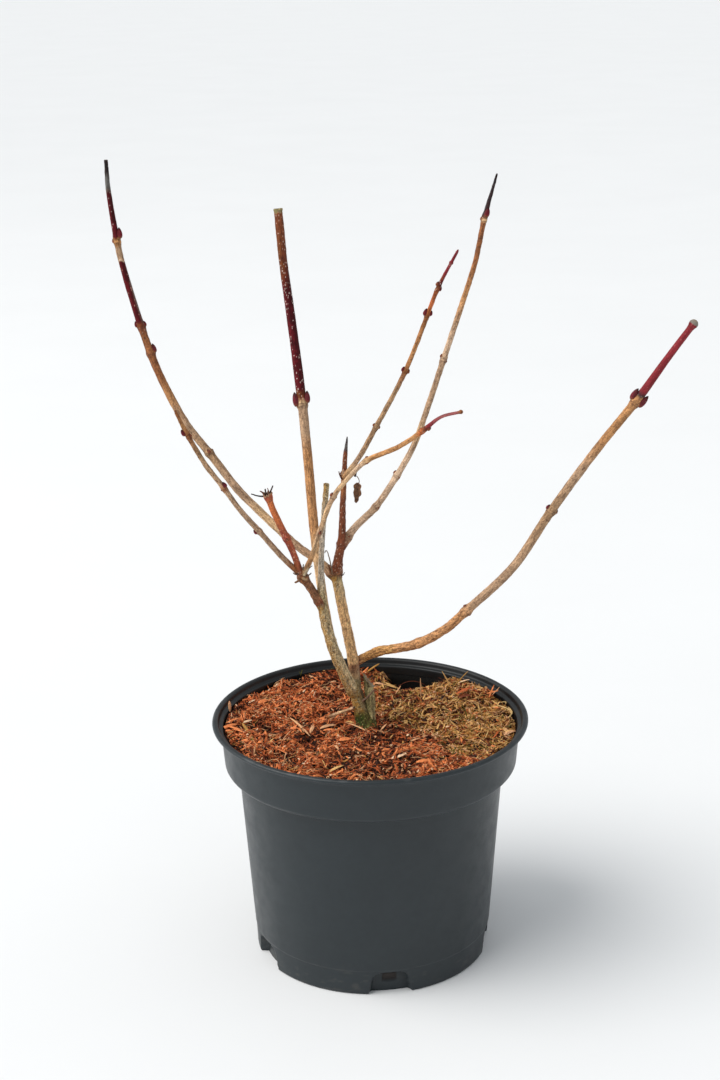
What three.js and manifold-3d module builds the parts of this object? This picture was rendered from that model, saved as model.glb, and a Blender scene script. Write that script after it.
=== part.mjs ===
// A bare flowering shrub in a round nursery pot, in millimetres, +Z up.
// The origin is the centre of the pot's flat underside.
import * as THREE from 'three';
import { mergeVertices } from 'three/addons/utils/BufferGeometryUtils.js';
import Module from 'manifold-3d';

const wasm = await Module();
wasm.setup();

// ---------------------------------------------------------------- driving dimensions

const GAP = 0.3; // what neighbouring pieces keep between them
const AROUND = 40; // facets round the pot and the growing medium

const POT = {
  height: 148,
  lipRadius: 94.4,
  lipInner: 90.8,
  lipThickness: 2.4,
  ledgeDrop: 3.8, // from the lip down to the ledge inside it
  collarTop: 89.3,
  collarBottom: 87.5,
  collarFoot: 121, // height of the collar's lower edge
  stepHeight: 5,
  wallTop: 79.3,
  base: 71.2,
  wall: 1.4,
  floor: 2.2,
  edge: 0.8, // bevel where two faces meet
  slope: 1.5, // how far the underside's and the step's slanting faces run
  bossRadius: 20, // flat disc in the middle of the underside
  hollow: 2.5, // how far the floor is raised between that disc and the foot
  footInner: 62,
  footHeight: 15,
  footCore: 64.2, // inside radius where the foot is thick
};

const RECESS = {
  count: 5,
  first: -154, // degrees, where the first drainage recess is centred
  halfAngle: 10,
  floorRadius: 66.4,
  height: 14,
  shoulderDrop: 3, // below the top, where the sides begin to lean in faster
  shoulderShare: 0.82, // of the foot's half width, at the shoulder
  topShare: 0.6, // and at the top
  holeWidth: 9,
  holeHeight: 5,
  holeLift: 1.5, // above the pot's floor
};

const SOIL = {
  level: 140.4,
  rings: 9,
  edgeRise: 2.6, // the surface climbs a little towards the wall
  ripple: 0.9,
  seatRadius: 9, // flat seat under the trunk
  seatBlend: 9,
};

// Broad humps and hollows of the growing medium: [x, y, rise, spread].
const SOIL_SWELLS = [
  [-74, 8, 1.1, 24],
  [26, 77, -11, 17],
  [-36, 68, 1.2, 24],
  [68, 46, 3.4, 22],
  [-60, -6, -2.4, 10],
  [10, -50, 0.8, 26],
];

const NODE = {
  swell: 0.24, // share by which a limb thickens at a node
  reach: 1.9, // half length of that thickening
  rings: [-1.3, -0.5, 0.5, 1.3], // rings round a node, in reaches from it
};

const BUD = {
  sides: 5,
  length: 4.2,
  width: 2.1,
  tilt: 20, // degrees off the limb
  sink: 0.8, // share of the limb's radius at which a bud is rooted
};

const RING_SPACING = 13;
const AXIS_STEPS = 600; // short chords that a limb's axis is measured in
const BREAK = { size: 14, tilt: 54, drop: 2 }; // a slanting break, tilted in degrees
const COLOURS = {
  pot: 0x33383d,
  soil: 0x8a4a24,
  grey: 0x8f8a76,
  bark: 0xa98a63,
  brown: 0x7c5138,
};

// Each limb is a list of stations along its axis, [x, y, z, diameter]. It is cut into
// pieces at the stations where a new piece's name stands, so a bend is a joint between
// two pieces. A bud is [station, direction round the limb in degrees from its +X side, scale].
const LIMBS = [
  {
    pieces: { 0: 'trunk' },
    colour: 'grey',
    rooted: true,
    sides: 10,
    stations: [
      [-1.8, 0, 138, 11.8],
      [-2.9, 1.1, 144, 10],
      [-4.8, 2.4, 152, 9.6],
      [-8.3, 2.8, 165.2, 9.2],
    ],
  },
  {
    pieces: { 0: 'broken_stub' },
    colour: 'grey',
    on: ['trunk'],
    broken: true,
    stations: [
      [-0.6, 1.6, 143, 5.4],
      [1.2, 5.2, 154.5, 5.2],
      [-0.8, 8.6, 170, 4.4],
    ],
  },
  {
    pieces: { 0: 'stem_grey', 3: 'snag_grey' },
    colour: 'grey',
    on: ['trunk'],
    stations: [
      [-9.2, 2.4, 161.5, 7.2],
      [-14.9, -2, 175, 6.9],
      [-22.2, -6.7, 197, 6.5],
      [-27.3, -11, 223.3, 5.7],
      [-27.5, -14, 241.6, 3.6],
      [-26.3, -17, 263.8, 3.3],
      [-23.2, -20, 298, 3.2],
    ],
  },
  {
    pieces: { 0: 'limb_fork' },
    colour: 'brown',
    on: ['stem_grey', 'snag_grey'],
    stations: [
      [-27.4, -10.5, 221.5, 5.2],
      [-33.6, -16, 234.4, 4.9],
      [-38.6, -20.2, 243.8, 4.8],
    ],
  },
  {
    pieces: { 0: 'bough_front_left', 4: 'shoot_front_left' },
    colour: 'bark',
    on: ['limb_fork'],
    stations: [
      [-37.4, -19.4, 242.4, 3.6],
      [-47.8, -25, 255.1, 3.3],
      [-62, -33, 275.5, 3.2],
      [-71.3, -38, 288.8, 3.1],
      [-80, -43, 303.8, 3],
      [-88.6, -47, 317.4, 2.9],
      [-97.8, -52, 336.6, 2.6],
      [-102.9, -55, 349.1, 1.7],
    ],
    buds: [
      [2, 190, 0.7], [2, 10, 0.5], [4, 0, 1], [4, 180, 0.6], [6, 200, 1], [6, 20, 0.6],
    ],
  },
  {
    pieces: { 0: 'stub_red' },
    colour: 'brown',
    on: ['limb_fork', 'bough_front_left'],
    threads: true,
    stations: [
      [-38.6, -20.4, 243.4, 3.9],
      [-42.2, -24, 257, 3.7],
      [-46.3, -27, 268.5, 4.1],
      [-53.3, -31, 286.4, 3.7],
      [-56, -33, 295.8, 3.6],
    ],
    buds: [[2, 300, 0.4]],
  },
  {
    pieces: { 0: 'bough_front_right', 5: 'shoot_front_right' },
    colour: 'bark',
    on: ['limb_fork', 'stub_red', 'bough_front_left'],
    stations: [
      [-38, -20.6, 243.2, 3.1],
      [-33, -24, 254.6, 3],
      [-27.5, -27, 271.5, 2.9],
      [-19.3, -32, 293.8, 2.8],
      [-9.2, -36, 307.6, 2.7],
      [-0.8, -39, 316.4, 3],
      [16.8, -46, 326.1, 2.8],
      [29.7, -52, 336.2, 2.8],
      [39.8, -56, 345.2, 2.3],
      [50.4, -60, 348.9, 2],
    ],
    buds: [
      [2, 330, 0.4], [2, 150, 0.4], [3, 170, 0.9], [3, 350, 0.5],
      [5, 180, 0.6], [5, 0, 0.5], [7, 0, 0.7], [7, 180, 0.5],
    ],
  },
  {
    pieces: { 0: 'stem_centre' },
    colour: 'bark',
    on: ['trunk', 'stem_grey'],
    stations: [
      [-7.2, 4.6, 161.5, 6.8],
      [-9.6, 8.6, 179, 6.6],
      [-14.8, 15, 205.7, 6.2],
      [-19.3, 20, 230.2, 6.4],
    ],
  },
  {
    pieces: { 0: 'leader_lower', 2: 'leader_dead' },
    colour: 'brown',
    on: ['stem_centre'],
    stations: [
      [-19.1, 20, 228.5, 5.8],
      [-17.9, 20, 239.2, 5.5],
      [-15.9, 20, 249.1, 4.8],
      [-14.4, 18, 277, 3.6],
      [-13.4, 16, 293.4, 3.2],
      [-12.6, 15, 305.1, 2.7],
      [-11.4, 14, 315.6, 0.9],
    ],
    buds: [[2, 190, 0.5], [4, 180, 0.7]],
  },
  {
    pieces: { 0: 'bough_inner_right', 3: 'shoot_inner_right' },
    colour: 'bark',
    on: ['leader_dead'],
    leaf: true,
    stations: [
      [-13.4, 16.2, 291.8, 3.2],
      [-5.7, 11, 303, 3.1],
      [5.3, 4, 324.5, 3],
      [21.8, -6, 358.8, 2.7],
      [33.9, -16, 392.5, 2.4],
      [39.7, -21, 408.9, 2.2],
      [49.8, -26, 429.3, 1.5],
    ],
    buds: [
      [2, 0, 0.5], [2, 180, 0.5], [3, 0, 0.8], [3, 180, 0.7],
      [4, 0, 1], [4, 180, 1], [5, 20, 0.8], [5, 200, 0.9],
    ],
  },
  {
    pieces: { 0: 'bough_back_right', 5: 'bough_back_high', 9: 'shoot_back_right' },
    colour: 'bark',
    on: ['leader_lower', 'leader_dead'],
    stations: [
      [-15.9, 20.2, 247.4, 5],
      [-7.6, 24, 258, 4.4],
      [4.8, 29, 269, 4],
      [17.2, 34, 286, 3.8],
      [27.5, 38, 303.2, 3.6],
      [34.2, 42, 319.8, 3.5],
      [45.7, 49, 352.5, 3.4],
      [57.1, 55, 384, 3.1],
      [66.2, 60, 409, 2.9],
      [70.5, 63, 434.3, 2.8],
      [77.5, 66, 458.4, 1.3],
    ],
    buds: [
      [2, 350, 0.5], [2, 170, 0.5], [3, 0, 0.6], [3, 180, 0.6],
      [6, 0, 0.7], [6, 180, 0.7], [9, 0, 1.2], [9, 180, 0.7],
    ],
  },
  {
    pieces: { 0: 'bough_left', 5: 'bough_left_high', 9: 'shoot_left', 11: 'tip_left' },
    colour: 'bark',
    on: ['stem_centre', 'leader_lower'],
    stations: [
      [-19.6, 20.2, 228.4, 5.2],
      [-28.1, 21, 237.1, 4.9],
      [-42.2, 23, 247.4, 4.8],
      [-63.8, 28, 267.4, 4.8],
      [-76.4, 30, 280.4, 4.8],
      [-93, 34, 302.2, 4.7],
      [-106.9, 36, 320.8, 4.7],
      [-121, 39, 349, 4.6],
      [-125.5, 40.1, 361.2, 4.5],
      [-130.4, 41.5, 376.7, 4.3],
      [-140.1, 43.5, 414, 3.6],
      [-142.4, 44, 427.2, 3.2],
      [-146, 45, 456.8, 2],
      [-146.4, 45, 472.6, 1.8],
    ],
    buds: [
      [5, 180, 0.7], [5, 0, 0.5], [8, 10, 1.2], [9, 0, 0.9], [9, 180, 0.9],
      [11, 0, 1.5], [11, 180, 0.6],
    ],
  },
  {
    pieces: { 0: 'stem_back', 4: 'shoot_back' },
    colour: 'bark',
    on: ['stem_grey'],
    stations: [
      [-16.8, -2.4, 178, 4.6],
      [-23.7, 4, 200.8, 5.2],
      [-30.7, 14, 250.7, 5.6],
      [-34.6, 25, 299.6, 5.6],
      [-37.6, 33, 332.7, 5.7],
      [-43.7, 44, 385.1, 5.2],
      [-47.3, 50, 413.4, 5.1],
      [-49.6, 54, 442.4, 5],
    ],
    buds: [[4, 180, 1.5], [4, 0, 1.2]],
  },
  {
    pieces: {
      0: 'bough_low_right', 5: 'bough_low_middle', 8: 'bough_low_outer', 10: 'shoot_low_right',
    },
    colour: 'bark',
    on: ['trunk', 'stem_centre', 'stem_grey', 'broken_stub'],
    stations: [
      [-8.9, 7.4, 171.5, 5.8],
      [-3.4, 11.2, 178.9, 5.9],
      [6.1, 12, 183.5, 5.2],
      [16.9, 9, 186.2, 5],
      [28.2, 4.8, 190.4, 5.2],
      [44.4, -2, 202.2, 5.2],
      [56.7, -8, 216.1, 5.2],
      [82.9, -19, 246.6, 5.2],
      [103.1, -28, 282.7, 5],
      [128.6, -34, 321.9, 4.8],
      [149.5, -38, 350.4, 4.9],
      [163.7, -40, 371.3, 3.9],
      [177.2, -42, 391.9, 3.6],
    ],
    buds: [
      [6, 0, 0.6], [6, 180, 0.6], [8, 180, 0.8], [8, 0, 0.7], [10, 180, 1.5], [10, 0, 1.7],
    ],
  },
];

const SNAPPED_TWIG = {
  name: 'snapped_twig',
  foot: [-25.2, 8.6, 143.1],
  top: [-9.8, -1.6, 153.2],
  diameter: 1.9,
};

// Dry calyx threads that stand out of the red stub's end: [degrees round, tilt, length].
const THREADS = [
  [150, 75, 6.4],
  [20, 40, 4.2],
  [250, 35, 2.8],
];

const DRY_LEAF = { along: 13.5, thread: 12.5, length: 10.5, width: 5.2, thickness: 0.7 };

// ---------------------------------------------------------------- solids

/** A closed three.js geometry as a solid that can be joined and cut. */
function solid(geometry) {
  const bare = geometry.clone();
  bare.deleteAttribute('normal');
  bare.deleteAttribute('uv');
  const merged = mergeVertices(bare, 1e-4);
  const vertProperties = new Float32Array(merged.attributes.position.array);
  const triVerts = new Uint32Array(merged.index.array);
  return new wasm.Manifold(new wasm.Mesh({ numProp: 3, vertProperties, triVerts }));
}

/** The solid's triangles as a three.js geometry. */
function geometryOf(body) {
  const { vertProperties, triVerts } = body.getMesh();
  const geometry = new THREE.BufferGeometry();
  geometry.setAttribute('position', new THREE.BufferAttribute(vertProperties, 3));
  geometry.setIndex(new THREE.BufferAttribute(triVerts, 1));
  geometry.computeVertexNormals();
  return geometry;
}

/** The largest piece of a solid, without the scraps that a cut leaves. */
function largest(body) {
  const parts = body.decompose();
  return parts.reduce((best, part) => (part.volume() > best.volume() ? part : best));
}

/** A solid turned about Z from [radius, height] pairs that start and end on the axis. */
function turned(profile, facets = AROUND) {
  const outline = profile.map(([radius, height]) => new THREE.Vector2(radius, height));
  return solid(new THREE.LatheGeometry(outline, facets).rotateX(Math.PI / 2));
}

// ---------------------------------------------------------------- pot and growing medium

/** The inside of the pot, from the floor to the ledge below the lip: [radius, height]. */
function potInside() {
  const floorTop = POT.hollow + POT.floor;
  const wallAt = (height) => {
    const share = height / (POT.collarFoot - POT.stepHeight);
    return POT.base + (POT.wallTop - POT.base) * share - POT.wall;
  };
  const footTop = POT.footHeight + 1;
  const stepFoot = POT.collarFoot - POT.stepHeight + 2;
  return [
    [POT.footCore, floorTop],
    [POT.footCore, footTop],
    [wallAt(footTop + 5), footTop + 5],
    [wallAt(stepFoot - 1), stepFoot - 1],
    [POT.collarBottom - POT.wall - 3, stepFoot],
    [POT.collarBottom - POT.wall, stepFoot + 3],
    [POT.collarTop - POT.wall, POT.height - POT.ledgeDrop - 0.6],
  ];
}

/** The pot's outside from the middle of its underside up and over the lip. */
function potProfile() {
  const lipFoot = POT.height - POT.lipThickness;
  const ledge = POT.height - POT.ledgeDrop;
  const stepFoot = POT.collarFoot - POT.stepHeight;
  return [
    [0, 0],
    [POT.bossRadius, 0],
    [POT.bossRadius + POT.slope, POT.hollow],
    [POT.footInner - POT.slope, POT.hollow],
    [POT.footInner, 0],
    [POT.base - POT.edge, 0],
    [POT.base, POT.edge],
    [POT.wallTop, stepFoot],
    [POT.wallTop + POT.slope, stepFoot + POT.slope],
    [POT.collarBottom - POT.slope, stepFoot + 2 * POT.slope],
    [POT.collarBottom, POT.collarFoot],
    [POT.collarTop, lipFoot - 2 * POT.slope],
    [POT.collarTop + POT.edge, lipFoot - POT.slope],
    [POT.lipRadius - POT.slope, lipFoot - POT.edge / 2],
    [POT.lipRadius, lipFoot + POT.edge / 2],
    [POT.lipRadius, POT.height - POT.edge],
    [POT.lipRadius - POT.edge, POT.height],
    [POT.lipInner + POT.edge, POT.height],
    [POT.lipInner, POT.height - POT.edge],
    [POT.lipInner - POT.edge / 2, ledge + POT.edge / 2],
    [POT.collarTop - POT.wall + POT.edge / 2, ledge],
    ...potInside().reverse(),
    [0, POT.hollow + POT.floor],
  ];
}

/** One drainage recess in the foot, with the hole that leads on into the pot. */
function drainRecess(degrees) {
  const depth = POT.base + 4 - RECESS.floorRadius;
  const half = POT.base * Math.tan(THREE.MathUtils.degToRad(RECESS.halfAngle));
  const mouth = new THREE.Shape();
  mouth.moveTo(-half, -1);
  mouth.lineTo(half, -1);
  mouth.lineTo(half * RECESS.shoulderShare, RECESS.height - RECESS.shoulderDrop);
  mouth.lineTo(half * RECESS.topShare, RECESS.height);
  mouth.lineTo(-half * RECESS.topShare, RECESS.height);
  mouth.lineTo(-half * RECESS.shoulderShare, RECESS.height - RECESS.shoulderDrop);
  const block = new THREE.ExtrudeGeometry(mouth, { depth, bevelEnabled: false });
  const hole = new THREE.BoxGeometry(RECESS.holeWidth, RECESS.holeHeight, 8);
  const holeFoot = POT.hollow + POT.floor + RECESS.holeLift;
  hole.translate(0, holeFoot + RECESS.holeHeight / 2, 0);
  const cutter = solid(block).add(solid(hole));
  const place = new THREE.Matrix4()
    .makeRotationZ(THREE.MathUtils.degToRad(degrees + 90))
    .multiply(new THREE.Matrix4().makeRotationX(Math.PI / 2))
    .multiply(new THREE.Matrix4().makeTranslation(0, 0, RECESS.floorRadius));
  return solid(geometryOf(cutter).applyMatrix4(place));
}

function pot() {
  let body = turned(potProfile());
  for (let index = 0; index < RECESS.count; index += 1) {
    body = body.subtract(drainRecess(RECESS.first + (index * 360) / RECESS.count));
  }
  return body;
}

/** Height of the growing medium at a place, flat where the trunk stands. */
function soilHeight(x, y) {
  const [footX, footY] = LIMBS[0].stations[0];
  const edge = Math.hypot(x, y) / POT.collarBottom;
  let rise = SOIL.edgeRise * edge ** 4;
  for (const [swellX, swellY, height, spread] of SOIL_SWELLS) {
    const away = Math.hypot(x - swellX, y - swellY) / spread;
    rise += height * Math.exp(-away * away);
  }
  rise += SOIL.ripple * Math.sin(x / 6.1 + 1.3) * Math.sin(y / 7.3 + 0.4);
  const fromTrunk = Math.hypot(x - footX, y - footY) - SOIL.seatRadius;
  return SOIL.level + rise * THREE.MathUtils.smoothstep(fromTrunk, 0, SOIL.seatBlend);
}

/** The growing medium: the pot's inside less a gap, under an uneven surface. */
function growingMedium() {
  const walls = potInside().slice(0, -1).map(([radius, height]) => [radius - GAP, height]);
  walls[0][1] += GAP;
  const [collarRadius, collarStart] = walls[walls.length - 1];
  const lean = (POT.collarTop - POT.collarBottom) / (POT.height - POT.collarFoot);
  const profile = [[0, walls[0][1]], ...walls];
  const brim = collarRadius + lean * (SOIL.level - collarStart);
  for (let ring = 0; ring <= SOIL.rings; ring += 1) {
    profile.push([brim * (1 - ring / SOIL.rings), SOIL.level]);
  }
  const outline = profile.map(([radius, height]) => new THREE.Vector2(radius, height));
  const geometry = new THREE.LatheGeometry(outline, AROUND).rotateX(Math.PI / 2);
  const place = geometry.attributes.position;
  for (let index = 0; index < place.count; index += 1) {
    const onTop = Math.abs(place.getZ(index) - SOIL.level) < 0.01;
    if (onTop) {
      place.setZ(index, soilHeight(place.getX(index), place.getY(index)));
    }
  }
  return solid(geometry);
}

// ---------------------------------------------------------------- limbs

/** Half of a limb's thickness at a distance along it, with its swollen nodes. */
function radiusAlong(limb, distance) {
  const { marks, stations, buds } = limb;
  let index = 1;
  while (index < marks.length - 1 && marks[index] < distance) {
    index += 1;
  }
  const share = (distance - marks[index - 1]) / (marks[index] - marks[index - 1]);
  const thickness = THREE.MathUtils.lerp(stations[index - 1][3], stations[index][3], share);
  let swell = 0;
  for (const [station] of buds) {
    const away = Math.abs(distance - marks[station]) / NODE.reach;
    swell = Math.max(swell, NODE.swell * Math.max(0, 1 - away * away * 0.5));
  }
  return (thickness / 2) * (1 + swell);
}

/** The limb with its smooth axis, and how far along it each station lies. */
function routed(limb) {
  const points = limb.stations.map(([x, y, z]) => new THREE.Vector3(x, y, z));
  const axis = new THREE.CatmullRomCurve3(points, false, 'centripetal');
  axis.arcLengthDivisions = AXIS_STEPS;
  const lengths = axis.getLengths();
  const last = points.length - 1;
  const marks = points.map((point, index) => lengths[Math.round((index / last) * AXIS_STEPS)]);
  const frames = axis.computeFrenetFrames(AXIS_STEPS, false);
  return { sides: 8, on: [], buds: [], ...limb, axis, marks, frames, total: lengths[AXIS_STEPS] };
}

/** Centre, direction and cross directions of a limb at a distance along it. */
function frameAt(limb, distance) {
  const share = THREE.MathUtils.clamp(distance / limb.total, 0, 1);
  const index = Math.round(share * AXIS_STEPS);
  return {
    centre: limb.axis.getPointAt(share),
    along: limb.frames.tangents[index],
    across: limb.frames.normals[index],
    beside: limb.frames.binormals[index],
  };
}

/** Distances at which a stretch of limb has a ring: evenly, and round each node. */
function ringDistances(limb, from, to) {
  const count = Math.max(2, Math.ceil((to - from) / RING_SPACING));
  const even = Array.from({ length: count + 1 }, (_, k) => from + ((to - from) * k) / count);
  const nodeStations = [...new Set(limb.buds.map(([station]) => station))];
  const nearNode = nodeStations.flatMap((station) =>
    NODE.rings.map((step) => limb.marks[station] + step * NODE.reach));
  const inside = nearNode.filter((distance) => distance > from + 0.5 && distance < to - 0.5);
  const clear = even.filter((distance, k) => k === 0 || k === count
    || inside.every((other) => Math.abs(other - distance) > 1.5));
  return [...clear, ...inside].sort((a, b) => a - b);
}

/** A stretch of a limb: a profile turned about its own length, then bent onto the axis. */
function limbStretch(limb, from, to, extra = 0) {
  const rings = ringDistances(limb, from, to);
  const outline = rings.map((d) => new THREE.Vector2(radiusAlong(limb, d) + extra, d));
  outline.unshift(new THREE.Vector2(0, from - extra));
  outline.push(new THREE.Vector2(0, to + extra));
  const geometry = new THREE.LatheGeometry(outline, limb.sides);
  const place = geometry.attributes.position;
  const spot = new THREE.Vector3();
  for (let index = 0; index < place.count; index += 1) {
    const distance = place.getY(index);
    const { centre, along, across, beside } = frameAt(limb, distance);
    spot.copy(centre).addScaledVector(beside, place.getX(index));
    spot.addScaledVector(across, place.getZ(index));
    spot.addScaledVector(along, Math.min(0, distance) + Math.max(0, distance - limb.total));
    place.setXYZ(index, spot.x, spot.y, spot.z);
  }
  return solid(geometry);
}

/** A pointed bud, or a thread when it is long and thin, rooted in a limb's side. */
function spike(limb, distance, degrees, tilt, length, width) {
  const outline = [[0, 0], [0.42, 0.02], [0.5, 0.35], [0.34, 0.72], [0, 1]];
  const points = outline.map(([r, h]) => new THREE.Vector2(r * width, h * length));
  const geometry = new THREE.LatheGeometry(points, BUD.sides);
  const { centre, along } = frameAt(limb, distance);
  const angle = THREE.MathUtils.degToRad(degrees);
  const right = new THREE.Vector3(0, 1, 0).cross(along).normalize();
  const away = along.clone().cross(right);
  const out = right.multiplyScalar(Math.cos(angle)).addScaledVector(away, Math.sin(angle));
  const lean = THREE.MathUtils.degToRad(tilt);
  const up = along.clone().multiplyScalar(Math.cos(lean)).addScaledVector(out, Math.sin(lean));
  const root = centre.clone().addScaledVector(out, radiusAlong(limb, distance) * BUD.sink);
  const turn = new THREE.Quaternion().setFromUnitVectors(new THREE.Vector3(0, 1, 0), up);
  geometry.applyQuaternion(turn);
  geometry.translate(root.x, root.y, root.z);
  return solid(geometry);
}

/** The buds on a stretch, thickened all round by an extra amount. */
function budsOn(limb, from, to, extra) {
  const here = limb.buds.filter(([station]) =>
    limb.marks[station] >= from - 0.5 && limb.marks[station] < to - 0.5);
  return here.map(([station, degrees, scale]) => {
    const length = BUD.length * scale + 2 * extra;
    const width = BUD.width * Math.sqrt(scale) + 2 * extra;
    const foot = Math.max(limb.marks[station], from + 2 * GAP) - extra;
    return spike(limb, foot, degrees, BUD.tilt, length, width);
  });
}

/** The dry calyx threads on a stub's end. */
function dryThreads(limb) {
  return THREADS.map(([degrees, tilt, length]) =>
    spike(limb, limb.total - 1, degrees, tilt, length, 0.8));
}

/** A curled dry leaf that hangs from a limb by its own thread. */
function dryLeaf(limb) {
  const { centre } = frameAt(limb, DRY_LEAF.along);
  const thread = new THREE.CylinderGeometry(0.3, 0.3, DRY_LEAF.thread, 5);
  thread.rotateX(Math.PI / 2);
  thread.translate(0, 0, -DRY_LEAF.thread / 2);
  const half = DRY_LEAF.width / 2;
  const blade = new THREE.Shape();
  blade.moveTo(0, 0);
  blade.lineTo(half * 0.9, -DRY_LEAF.length * 0.22);
  blade.lineTo(half * 0.6, -DRY_LEAF.length * 0.4);
  blade.lineTo(half, -DRY_LEAF.length * 0.55);
  blade.lineTo(-half * 0.4, -DRY_LEAF.length);
  blade.lineTo(-half, -DRY_LEAF.length * 0.6);
  blade.lineTo(-half * 0.7, -DRY_LEAF.length * 0.25);
  const sheet = { depth: DRY_LEAF.thickness, bevelEnabled: false };
  const leaf = new THREE.ExtrudeGeometry(blade, sheet);
  leaf.rotateX(Math.PI / 2);
  leaf.translate(0, DRY_LEAF.thickness / 2, -DRY_LEAF.thread + 0.8);
  const hung = solid(thread).add(solid(leaf));
  return hung.translate([centre.x + 0.4, centre.y, centre.z]);
}

/** What lies below the growing medium, as a block that gives the trunk its flat foot. */
function groundBlock() {
  const size = 4 * SOIL.seatRadius;
  const block = new THREE.BoxGeometry(size, size, size);
  block.translate(0, 0, SOIL.level + GAP - size / 2);
  return solid(block);
}

/** A slanting break across a limb's end, as a block that takes the tip away. */
function breakBlock(limb) {
  const { centre, along } = frameAt(limb, limb.total);
  const block = new THREE.BoxGeometry(BREAK.size, BREAK.size, BREAK.size);
  block.translate(0, 0, BREAK.size / 2);
  block.rotateX(THREE.MathUtils.degToRad(BREAK.tilt));
  block.translate(centre.x - along.x, centre.y - along.y, centre.z - BREAK.drop);
  return solid(block);
}

/** A stretch of a limb with its buds, thickened all round by an extra amount. */
function budded(limb, from, to, extra = 0) {
  return budsOn(limb, from, to, extra)
    .reduce((body, bud) => body.add(bud), limbStretch(limb, from, to, extra));
}

/** Every limb's pieces by name, cut clear of the limbs that carry them. */
function limbPieces() {
  const built = new Map();
  const grown = new Map();
  for (const plan of LIMBS) {
    const limb = routed(plan);
    const cuts = Object.keys(limb.pieces).map(Number);
    const carriers = limb.on.map((name) => grown.get(name));
    cuts.forEach((station, order) => {
      const from = limb.marks[station] + (order === 0 ? 0 : GAP);
      const to = order + 1 < cuts.length ? limb.marks[cuts[order + 1]] : limb.total;
      let body = budded(limb, from, to);
      if (limb.threads) {
        dryThreads(limb).forEach((thread) => {
          body = body.add(thread);
        });
      }
      if (limb.leaf && order === 0) {
        body = body.add(dryLeaf(limb));
      }
      if (limb.rooted) {
        body = body.subtract(groundBlock());
      }
      if (limb.broken) {
        body = body.subtract(breakBlock(limb));
      }
      carriers.forEach((carrier) => {
        body = body.subtract(carrier);
      });
      const name = limb.pieces[station];
      built.set(name, { body: largest(body), colour: limb.colour });
      grown.set(name, budded(limb, from, to, GAP));
    });
  }
  return built;
}

/** A loose dead twig that leans from the growing medium to the trunk's foot. */
function snappedTwig() {
  const foot = new THREE.Vector3(...SNAPPED_TWIG.foot);
  const top = new THREE.Vector3(...SNAPPED_TWIG.top);
  const along = top.clone().sub(foot);
  const radius = SNAPPED_TWIG.diameter / 2;
  const rod = new THREE.CylinderGeometry(radius * 0.8, radius, along.length(), 7);
  const up = new THREE.Vector3(0, 1, 0);
  rod.applyQuaternion(new THREE.Quaternion().setFromUnitVectors(up, along.clone().normalize()));
  const middle = foot.clone().add(top).multiplyScalar(0.5);
  rod.translate(middle.x, middle.y, middle.z);
  return solid(rod);
}

// ---------------------------------------------------------------- assembly

const FINISH = {
  pot: { color: COLOURS.pot, roughness: 0.55, metalness: 0 },
  soil: { color: COLOURS.soil, roughness: 0.95, metalness: 0 },
};

function finishFor(colour) {
  return FINISH[colour] ?? { color: COLOURS[colour], roughness: 0.75, metalness: 0 };
}

function piece(name, body, colour) {
  const mesh = new THREE.Mesh(geometryOf(body), new THREE.MeshStandardMaterial(finishFor(colour)));
  mesh.name = name;
  return mesh;
}

const plant = new THREE.Group();
plant.add(piece('pot', pot(), 'pot'));
plant.add(piece('growing_medium', growingMedium(), 'soil'));
for (const [name, { body, colour }] of limbPieces()) {
  plant.add(piece(name, body, colour));
}
plant.add(piece(SNAPPED_TWIG.name, snappedTwig(), 'brown'));

export default plant;
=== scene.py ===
"""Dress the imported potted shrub: its pot, growing medium, bark, buds and small dry parts.

Sizes in the tables are millimetres. Meshes are written in metres in the frame's own axes:
+X to the right, +Y to the back, +Z up, origin at the centre of the pot's flat underside.
"""
import logging
import math
from dataclasses import dataclass, field, replace
from enum import Enum

import bpy
import numpy as np
from mathutils import Matrix, Vector


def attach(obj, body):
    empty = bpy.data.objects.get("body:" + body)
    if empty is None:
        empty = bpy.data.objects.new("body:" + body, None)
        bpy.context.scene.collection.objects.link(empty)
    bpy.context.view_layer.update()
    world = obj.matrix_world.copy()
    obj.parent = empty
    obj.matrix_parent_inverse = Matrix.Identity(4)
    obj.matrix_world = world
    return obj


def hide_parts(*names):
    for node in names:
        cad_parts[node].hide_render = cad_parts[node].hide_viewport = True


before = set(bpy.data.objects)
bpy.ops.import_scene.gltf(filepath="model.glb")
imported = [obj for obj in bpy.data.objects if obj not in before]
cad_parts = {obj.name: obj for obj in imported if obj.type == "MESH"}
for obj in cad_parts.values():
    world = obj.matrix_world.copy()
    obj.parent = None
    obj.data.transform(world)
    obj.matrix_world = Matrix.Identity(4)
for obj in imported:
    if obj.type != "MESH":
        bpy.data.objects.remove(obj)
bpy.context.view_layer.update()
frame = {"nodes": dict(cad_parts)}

log = logging.getLogger("potted_shrub")

MM = 0.001
TURN = 2.0 * math.pi
ROOT = "root"
Array = np.ndarray
Pair = tuple[float, float]
Triple = tuple[float, float, float]
Four = tuple[float, float, float, float]
Colour = tuple[float, float, float]
Shade = tuple[int, int, int]
Faces = tuple[Array, Array, Array]


# ---- numbers and noise

def linear(red: int, green: int, blue: int) -> Colour:
    """Turn display values from 0 to 255 into linear light, by the sRGB curve."""
    shares = (channel / 255.0 for channel in (red, green, blue))
    return tuple(s / 12.92 if s <= 0.04045 else ((s + 0.055) / 1.055) ** 2.4 for s in shares)


def smooth(low: float, high: float, value: Array) -> Array:
    """Ramp from 0 at low to 1 at high along 3t^2 - 2t^3."""
    share = np.clip((value - low) / (high - low), 0.0, 1.0)
    return share * share * (3.0 - 2.0 * share)


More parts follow.
